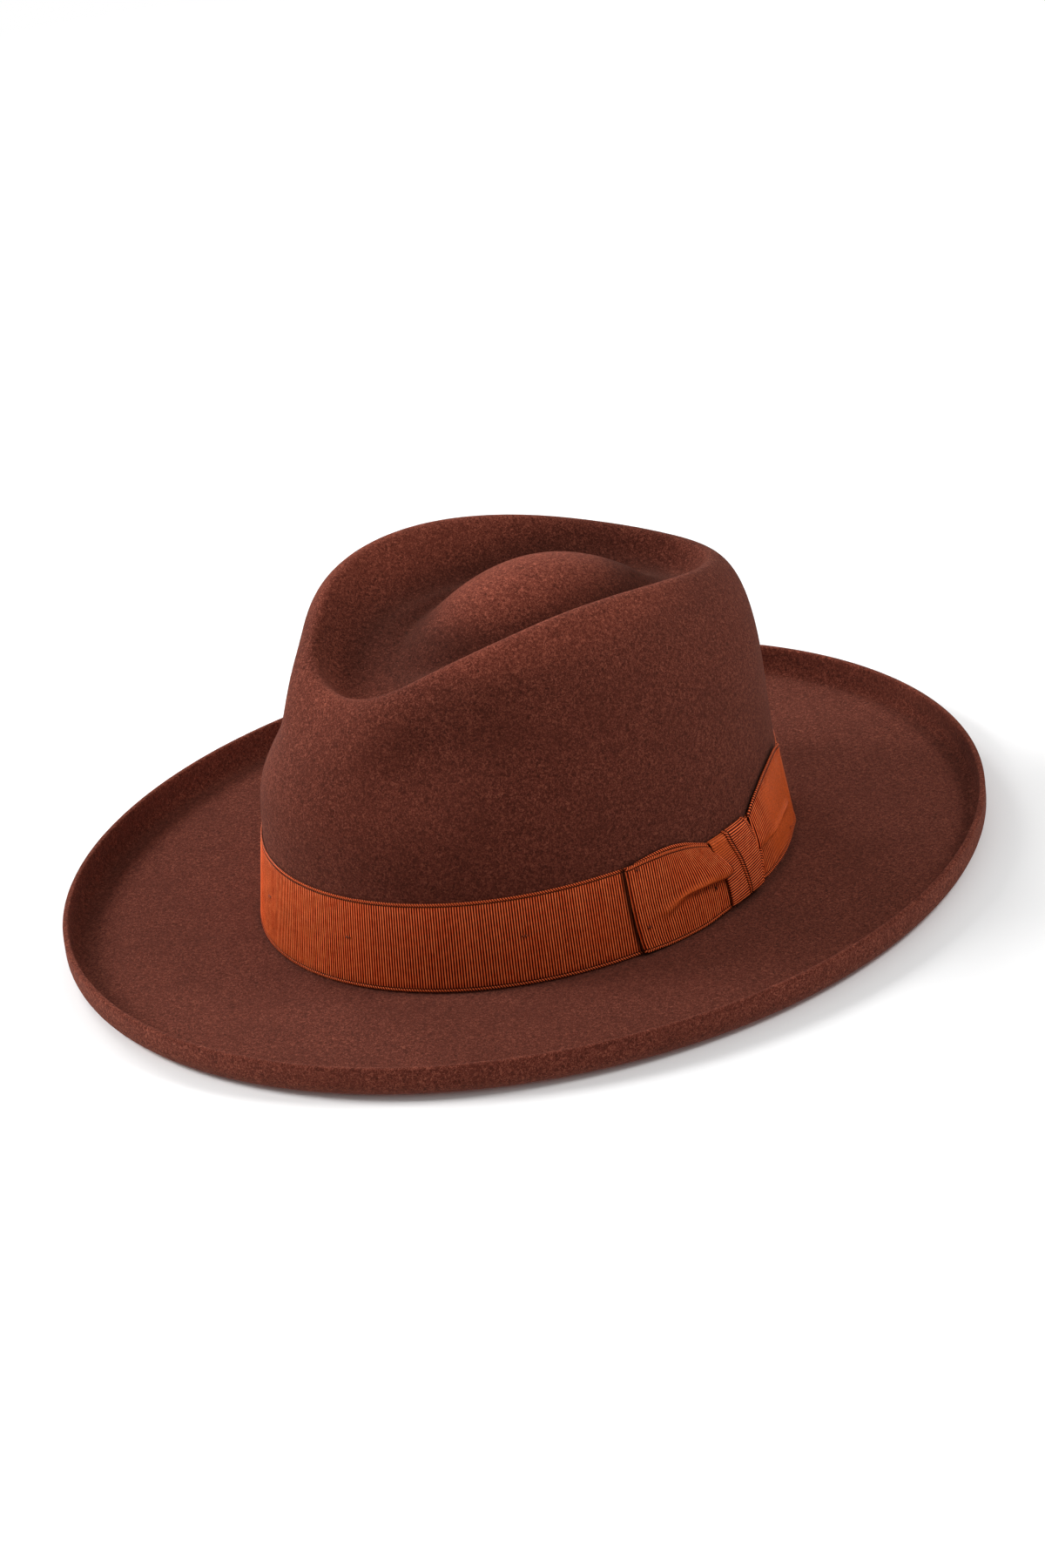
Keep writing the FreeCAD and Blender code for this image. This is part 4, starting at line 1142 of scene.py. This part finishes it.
def grosgrain_material(name, groove_shade, ridge, painted_glint):
    """Ribbed ribbon: UV X counts ribs, UV Y is millimetres across it (both stored x0.001)."""
    graph = material_graph(name)
    uv = graph.new("ShaderNodeSeparateXYZ", Vector=graph.coord("UV"))
    waver = graph.centred(graph.noise(graph.coord(), scale=130), 0.16)
    along = graph.add(graph.times(uv.outputs[0], 1000.0), waver)
    across = graph.times(uv.outputs[1], 1000.0)
    ribs = graph.unit_wave("COSINE", graph.times(along, TAU))
    # warp threads run over the ribs, finer than a rib
    warp = graph.unit_wave("SINE", graph.times(across, TAU / 0.42))
    grain = graph.noise(graph.coord(), scale=2400, detail=3.0, rough=0.6)
    uneven = graph.noise(graph.coord(), scale=420, detail=3.0, rough=0.65)
    slow = graph.noise(graph.coord(), scale=60)
    # the edge cords lie within 0.98 mm of the edges, with a groove of painted shade beside each
    edge = graph.math("MINIMUM", across, graph.math("SUBTRACT", BAND_WIDTH, across))
    in_cord = graph.math("LESS_THAN", edge, 0.98)
    groove = graph.times(graph.math("GREATER_THAN", edge, 0.98),
                         graph.math("LESS_THAN", edge, 1.42))
    twist = graph.unit_wave("COSINE", graph.add(graph.times(along, TAU),
                                                graph.times(across, 5.0)))
    one_rib = graph.new("ShaderNodeTexWhiteNoise", noise_dimensions="1D",
                        W=graph.math("FLOOR", graph.add(along, 0.5)))
    each = graph.centred(one_rib.outputs["Value"], 0.09)
    level = graph.add(graph.add(graph.times(ribs, 0.90), each), graph.centred(uneven, 0.42))
    # painted shade in the hollows between ribs and painted glint on their crests, following each
    # rib
    color = graph.ramp(level, [(0.34, groove_shade), (0.62, ridge), (0.90, painted_glint)])
    color = graph.mix(graph.excess(grain, 0.45, gain=0.8), color, scaled(ridge, 0.5))
    color = graph.mix(graph.excess(slow, 0.5, gain=0.5), color, ridge)
    # painted highlight: where the vertex mask is set, a smooth bright orange replaces the ribs'
    # colour
    painted_sheen = graph.ramp(grain, [(0.35, srgb(150, 58, 24)), (0.62, srgb(216, 94, 38))])
    color = graph.mix(graph.times(graph.attribute("gloss"), 0.85), color, painted_sheen)
    # the cords' twist, with painted shade in its turns and painted glint on top
    cord = graph.ramp(twist, [(0.34, groove_shade), (0.72, ridge), (1.0, painted_glint)])
    color = graph.mix(in_cord, color, cord)
    color = graph.mix(graph.times(groove, 0.88), color, scaled(groove_shade, 0.5))
    # painted shade in crevices, from an occlusion node
    crevice = graph.excess(0.92, graph.occlusion(samples=4, distance=0.0016), gain=1.15)
    color = graph.mix(crevice, color, scaled(groove_shade, 0.35))
    # painted shade on the band where the front loop's free end stands over it
    color = graph.mix(graph.times(graph.attribute("shade"), 0.8), color, scaled(groove_shade, 0.5))
    height = graph.add(graph.times(warp, 0.3), graph.times(grain, 0.7))
    graph.surface(Base_Color=color, Normal=graph.bump(height, strength=0.35, distance=0.0002),
                  Roughness=0.48, Specular_IOR_Level=0.16, Specular_Tint=(1.0, 0.60, 0.36, 1),
                  Sheen_Weight=0.03, Sheen_Roughness=0.35, Sheen_Tint=(1.0, 0.5, 0.25, 1))
    return graph.owner


def leather_material(name):
    """Blotched leather with a net of fine creases."""
    graph = material_graph(name)
    coord = graph.coord()
    fine = graph.noise(coord, scale=300)
    shift = graph.new("ShaderNodeVectorMath", operation="SCALE", Scale=0.0006,
                      Vector=graph.noise(coord, scale=300, output="Color"))
    warped = graph.new("ShaderNodeVectorMath", operation="ADD", Vector=coord)
    graph.feed(warped.inputs[1], shift.outputs[0])
    cells = graph.new("ShaderNodeTexVoronoi", feature="DISTANCE_TO_EDGE", Scale=900.0,
                      Vector=warped.outputs[0])
    blot = graph.noise(coord, scale=22, detail=4.0, rough=0.6)
    level = graph.add(graph.times(blot, 0.8), graph.times(fine, 0.2))
    color = graph.ramp(level, [(0.3, srgb(86, 50, 28)), (0.52, srgb(140, 88, 52)),
                               (0.75, srgb(170, 114, 72))])
    creases = graph.ramp(cells.outputs["Distance"], [(0.0, (0, 0, 0, 1)), (0.12, (1, 1, 1, 1))])
    normal = graph.bump(creases, strength=0.35, distance=0.0001)
    normal = graph.bump(graph.noise(coord, scale=70, detail=3.0), strength=0.3, distance=0.0005,
                        Normal=normal)
    graph.surface(Base_Color=color, Normal=normal, Specular_IOR_Level=0.45,
                  Roughness=graph.add(0.38, graph.times(blot, 0.25)))
    return graph.owner


def woven_material(name, dark, light, scale=1400.0):
    """Cloth of two crossing sets of threads."""
    graph = material_graph(name)
    coord = graph.coord()
    weave = graph.times(graph.wave(coord, "Z", scale=scale / 6.283, distortion=0.6),
                        graph.wave(coord, "DIAGONAL", scale=scale / 6.283, distortion=0.6))
    uneven = graph.noise(coord, scale=500, detail=3.0)
    level = graph.add(graph.times(weave, 0.6), graph.times(uneven, 0.4))
    graph.surface(Base_Color=graph.ramp(level, [(0.15, dark), (0.7, light)]),
                  Normal=graph.bump(weave, strength=0.5, distance=0.0002), Roughness=0.8,
                  Specular_IOR_Level=0.3, Sheen_Weight=0.2)
    return graph.owner


def thread_material(name, dark, light):
    """Twisted thread, banded along its twist."""
    graph = material_graph(name)
    coord = graph.coord()
    twist = graph.wave(coord, "DIAGONAL", scale=420.0, distortion=1.0)
    height = graph.add(twist, graph.noise(coord, scale=3500))
    graph.surface(Base_Color=graph.ramp(twist, [(0.2, dark), (0.75, light)]),
                  Normal=graph.bump(height, strength=0.5, distance=0.0001), Roughness=0.6,
                  Specular_IOR_Level=0.25, Sheen_Weight=0.08, Sheen_Tint=light)
    return graph.owner


def satin_material(name):
    """Smooth brown lining with fine threads and soft creases."""
    graph = material_graph(name)
    coord = graph.coord()
    threads = graph.wave(coord, "X", scale=900.0, distortion=0.4)
    blot = graph.noise(coord, scale=35, detail=3.0)
    level = graph.add(graph.add(graph.times(blot, 0.3), 0.25), graph.times(threads, 0.2))
    color = graph.ramp(level, [(0.25, srgb(84, 44, 28)), (0.5, srgb(128, 72, 46)),
                               (0.8, srgb(160, 98, 66))])
    normal = graph.bump(graph.noise(coord, scale=160, detail=3.0, rough=0.6), strength=0.25,
                        distance=0.0008)
    normal = graph.bump(threads, strength=0.15, distance=0.0001, Normal=normal)
    graph.surface(Base_Color=color, Normal=normal, Roughness=0.34, Specular_IOR_Level=0.55,
                  Anisotropic=0.6, Sheen_Weight=0.25)
    return graph.owner


def plastic_material(name):
    """Pale plastic, slightly mottled."""
    graph = material_graph(name)
    coord = graph.coord()
    color = graph.ramp(graph.noise(coord, scale=90, detail=3.0),
                       [(0.35, srgb(150, 136, 108)), (0.65, srgb(180, 166, 134))])
    normal = graph.bump(graph.noise(coord, scale=1500), strength=0.2, distance=0.0001)
    rough = graph.add(0.35, graph.times(graph.noise(coord, scale=200), 0.2))
    graph.surface(Base_Color=color, Normal=normal, Roughness=rough)
    return graph.owner


felt_mat = felt_material("felt_nap")
ribbon_mat = grosgrain_material("grosgrain_weave", groove_shade=srgb(46, 7, 4),
                                ridge=srgb(229, 70, 22), painted_glint=srgb(253, 134, 78))
narrow_mat = grosgrain_material("narrow_ribbon_weave", groove_shade=srgb(46, 12, 4),
                                ridge=srgb(150, 56, 20), painted_glint=srgb(205, 104, 54))
thread_mat = thread_material("twisted_thread", dark=srgb(58, 19, 8), light=srgb(150, 60, 24))
leather_mat = leather_material("sweatband_leather_grain")
tape_mat = woven_material("seam_tape_weave", dark=srgb(34, 20, 15), light=srgb(70, 42, 32))
label_mat = woven_material("label_weave", dark=srgb(196, 188, 168), light=srgb(232, 226, 208),
                           scale=1800.0)
satin_mat = satin_material("lining_satin")
piping_mat = thread_material("piping_cord_silk", dark=srgb(56, 26, 18), light=srgb(120, 64, 42))
reed_mat = plastic_material("reed_plastic")

# ---------------------------------------------------------------- pieces on the CAD frame
# For each body: object, the CAD node it replaces, slot, material
PIECES = {
    "hat_body": [
        (felt, "felt_body", "felt", felt_mat),
        (band, "ribbon_band", "grosgrain", ribbon_mat),
        (front_loop, "bow_front_wing", "grosgrain", ribbon_mat),
        (front_layer, "bow_front_fold", "grosgrain", ribbon_mat),
        (back_loop, "bow_back_wing", "grosgrain", ribbon_mat),
        (rear_layer, "bow_back_fold", "grosgrain", ribbon_mat),
        (bow_wrap, "bow_knot", "grosgrain", ribbon_mat),
        (bow_tacks, "bow_tack_stitches", "thread", thread_mat),
        (band_tacks, "band_tack_stitches", "thread", thread_mat),
        (seam, "sweatband_stitching", "thread", thread_mat),
        (lining, "lining_side", "satin", satin_mat),
        (tip, "lining_tip", "satin", satin_mat),
        (piping, "lining_piping", "piping", piping_mat),
    ],
    "sweatband_leather": [
        (sweatband, "sweatband", "sweatband_leather", leather_mat),
        (seam_tape, "sweatband_back_seam", "seam_tape", tape_mat),
        (zigzag, None, "thread", thread_mat),
        (small_loops, "sweatband_bow_loops", "grosgrain", narrow_mat),
        (small_knot, "sweatband_bow_knot", "grosgrain", narrow_mat),
        (label, "size_label", "label_cloth", label_mat),
    ],
}
for body, pieces in PIECES.items():
    for ob, node, slot, mat in pieces:
        face_outward(ob)
        ob.data.materials.append(mat)
        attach(ob, body)
        if node:
            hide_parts(node)

for node, mat in (("sweatband_reed", reed_mat), ("sweatband_welt", tape_mat)):
    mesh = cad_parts[node].data
    mesh.materials.clear()
    mesh.materials.append(mat)
    for face in mesh.polygons:
        face.use_smooth = True


# ---------------------------------------------------------------- floor and world, in metres
def floor_material(name):
    """White paper that turns evenly white away from the hat. It isn't there when seen from
    underneath, nor for shadow rays."""
    graph = material_graph(name)
    tone = graph.noise(graph.coord(), scale=6)
    color = graph.ramp(tone, [(0.3, (0.93, 0.93, 0.93, 1)), (0.7, (0.95, 0.95, 0.95, 1))])
    paper = graph.surface(Base_Color=color, Roughness=0.9, Specular_IOR_Level=0.05)
    geometry = graph.new("ShaderNodeNewGeometry")
    ray = graph.new("ShaderNodeLightPath")
    away = graph.new("ShaderNodeVectorMath", operation="LENGTH", Vector=graph.coord())
    fade = graph.math("MULTIPLY", graph.math("SUBTRACT", away.outputs["Value"], 0.42), 1.6,
                      clamp=True)
    white = graph.new("ShaderNodeEmission", Strength=1.0)
    seen = graph.mix_shader(graph.times(fade, ray.outputs["Is Camera Ray"]), paper,
                            white.outputs[0])
    hidden = graph.math("MAXIMUM", geometry.outputs["Backfacing"], ray.outputs["Is Shadow Ray"])
    clear = graph.new("ShaderNodeBsdfTransparent")
    graph.feed(graph.tree.nodes["Material Output"].inputs["Surface"],
               graph.mix_shader(hidden, seen, clear.outputs[0]))
    return graph.owner


floor_mesh = bpy.data.meshes.new("floor")
floor_mesh.from_pydata([(-6, -6, 0), (6, -6, 0), (6, 6, 0), (-6, 6, 0)], [], [(0, 1, 2, 3)])
floor = add_object("floor", floor_mesh)
floor.location = (0, 0, -0.0003)
floor_mesh.materials.append(floor_material("floor_paper"))

# Grey light that grows with height; the camera sees plain white
world = bpy.data.worlds.new("studio")
bpy.context.scene.world = world
sky = Graph(world)
direction = sky.new("ShaderNodeSeparateXYZ", Vector=sky.coord("Generated"))
grey = sky.ramp(direction.outputs[2], [(0.0, (0.36, 0.36, 0.36, 1)), (0.9, (0.50, 0.50, 0.50, 1))])
camera_ray = sky.new("ShaderNodeLightPath").outputs["Is Camera Ray"]
background = sky.tree.nodes["Background"]
sky.feed(background.inputs["Color"], sky.mix(camera_ray, grey, (1, 1, 1, 1)))
background.inputs["Strength"].default_value = 1.0

# ---------------------------------------------------------------- lights and camera
CAMERA_TURN = math.radians(57.0)                     # from the front towards the wearer's left
CAMERA_RISE, CAMERA_ROLL = 0.464250911, -0.120300355  # radians
CAMERA_DISTANCE = 2113.778265
CAMERA_RIGHT, CAMERA_UP = -2.230708, 29.027600       # shift from the line to the aim point
CAMERA_AIM_Z = 3.0
LIGHT_DISTANCE = 1.7                                 # metres


def from_hat(turn, rise):
    """Unit vector from the hat, by turn about the vertical and rise in radians."""
    return np.array([math.sin(turn) * math.cos(rise), -math.cos(turn) * math.cos(rise),
                     math.sin(rise)])


def area_light(name, place, size, energy):
    """Square light aimed at the hat."""
    light = bpy.data.lights.new(name, "AREA")
    light.shape = "RECTANGLE"
    light.size = light.size_y = size
    light.energy = energy
    ob = add_object(name, light)
    ob.location = place
    ob.rotation_mode = "QUATERNION"
    aim = Vector((0, 0, 0.05)) - Vector(place)
    ob.rotation_quaternion = aim.to_track_quat("-Z", "Y")


# Turn in degrees from the camera's direction (positive to the right), rise, size, watts
for name, turn, rise, size, energy in (("key", -100, 35, 0.55, 24.0),
                                       ("rim", -150, 30, 0.55, 9.5),
                                       ("fill", 82, 48, 0.5, 11.5)):
    toward = from_hat(CAMERA_TURN + math.radians(turn), math.radians(rise))
    area_light(name, toward * LIGHT_DISTANCE, size, energy)
area_light("underneath", (0.0, 0.0, -1.2), size=1.2, energy=13.0)

level_right = np.array([math.cos(CAMERA_TURN), math.sin(CAMERA_TURN), 0.0])
back = from_hat(CAMERA_TURN, CAMERA_RISE)
level_up = np.cross(back, level_right)
camera_right = math.cos(CAMERA_ROLL) * level_right + math.sin(CAMERA_ROLL) * level_up
camera_up = -math.sin(CAMERA_ROLL) * level_right + math.cos(CAMERA_ROLL) * level_up
camera_place = (CAMERA_DISTANCE * back + CAMERA_RIGHT * camera_right + CAMERA_UP * camera_up
                + UP * CAMERA_AIM_Z)
pose = np.eye(4)
pose[:3] = stack(camera_right, camera_up, back, camera_place * MM)

camera = bpy.data.cameras.new("camera")
camera.sensor_width = 36.0
camera.lens = 132.25576
camera.clip_start, camera.clip_end = 0.05, 50.0
camera_ob = add_object("camera", camera)
camera_ob.matrix_world = Matrix(pose.tolist())
scene = bpy.context.scene
scene.camera = camera_ob
scene.view_settings.view_transform = "Standard"
scene.view_settings.look = "None"
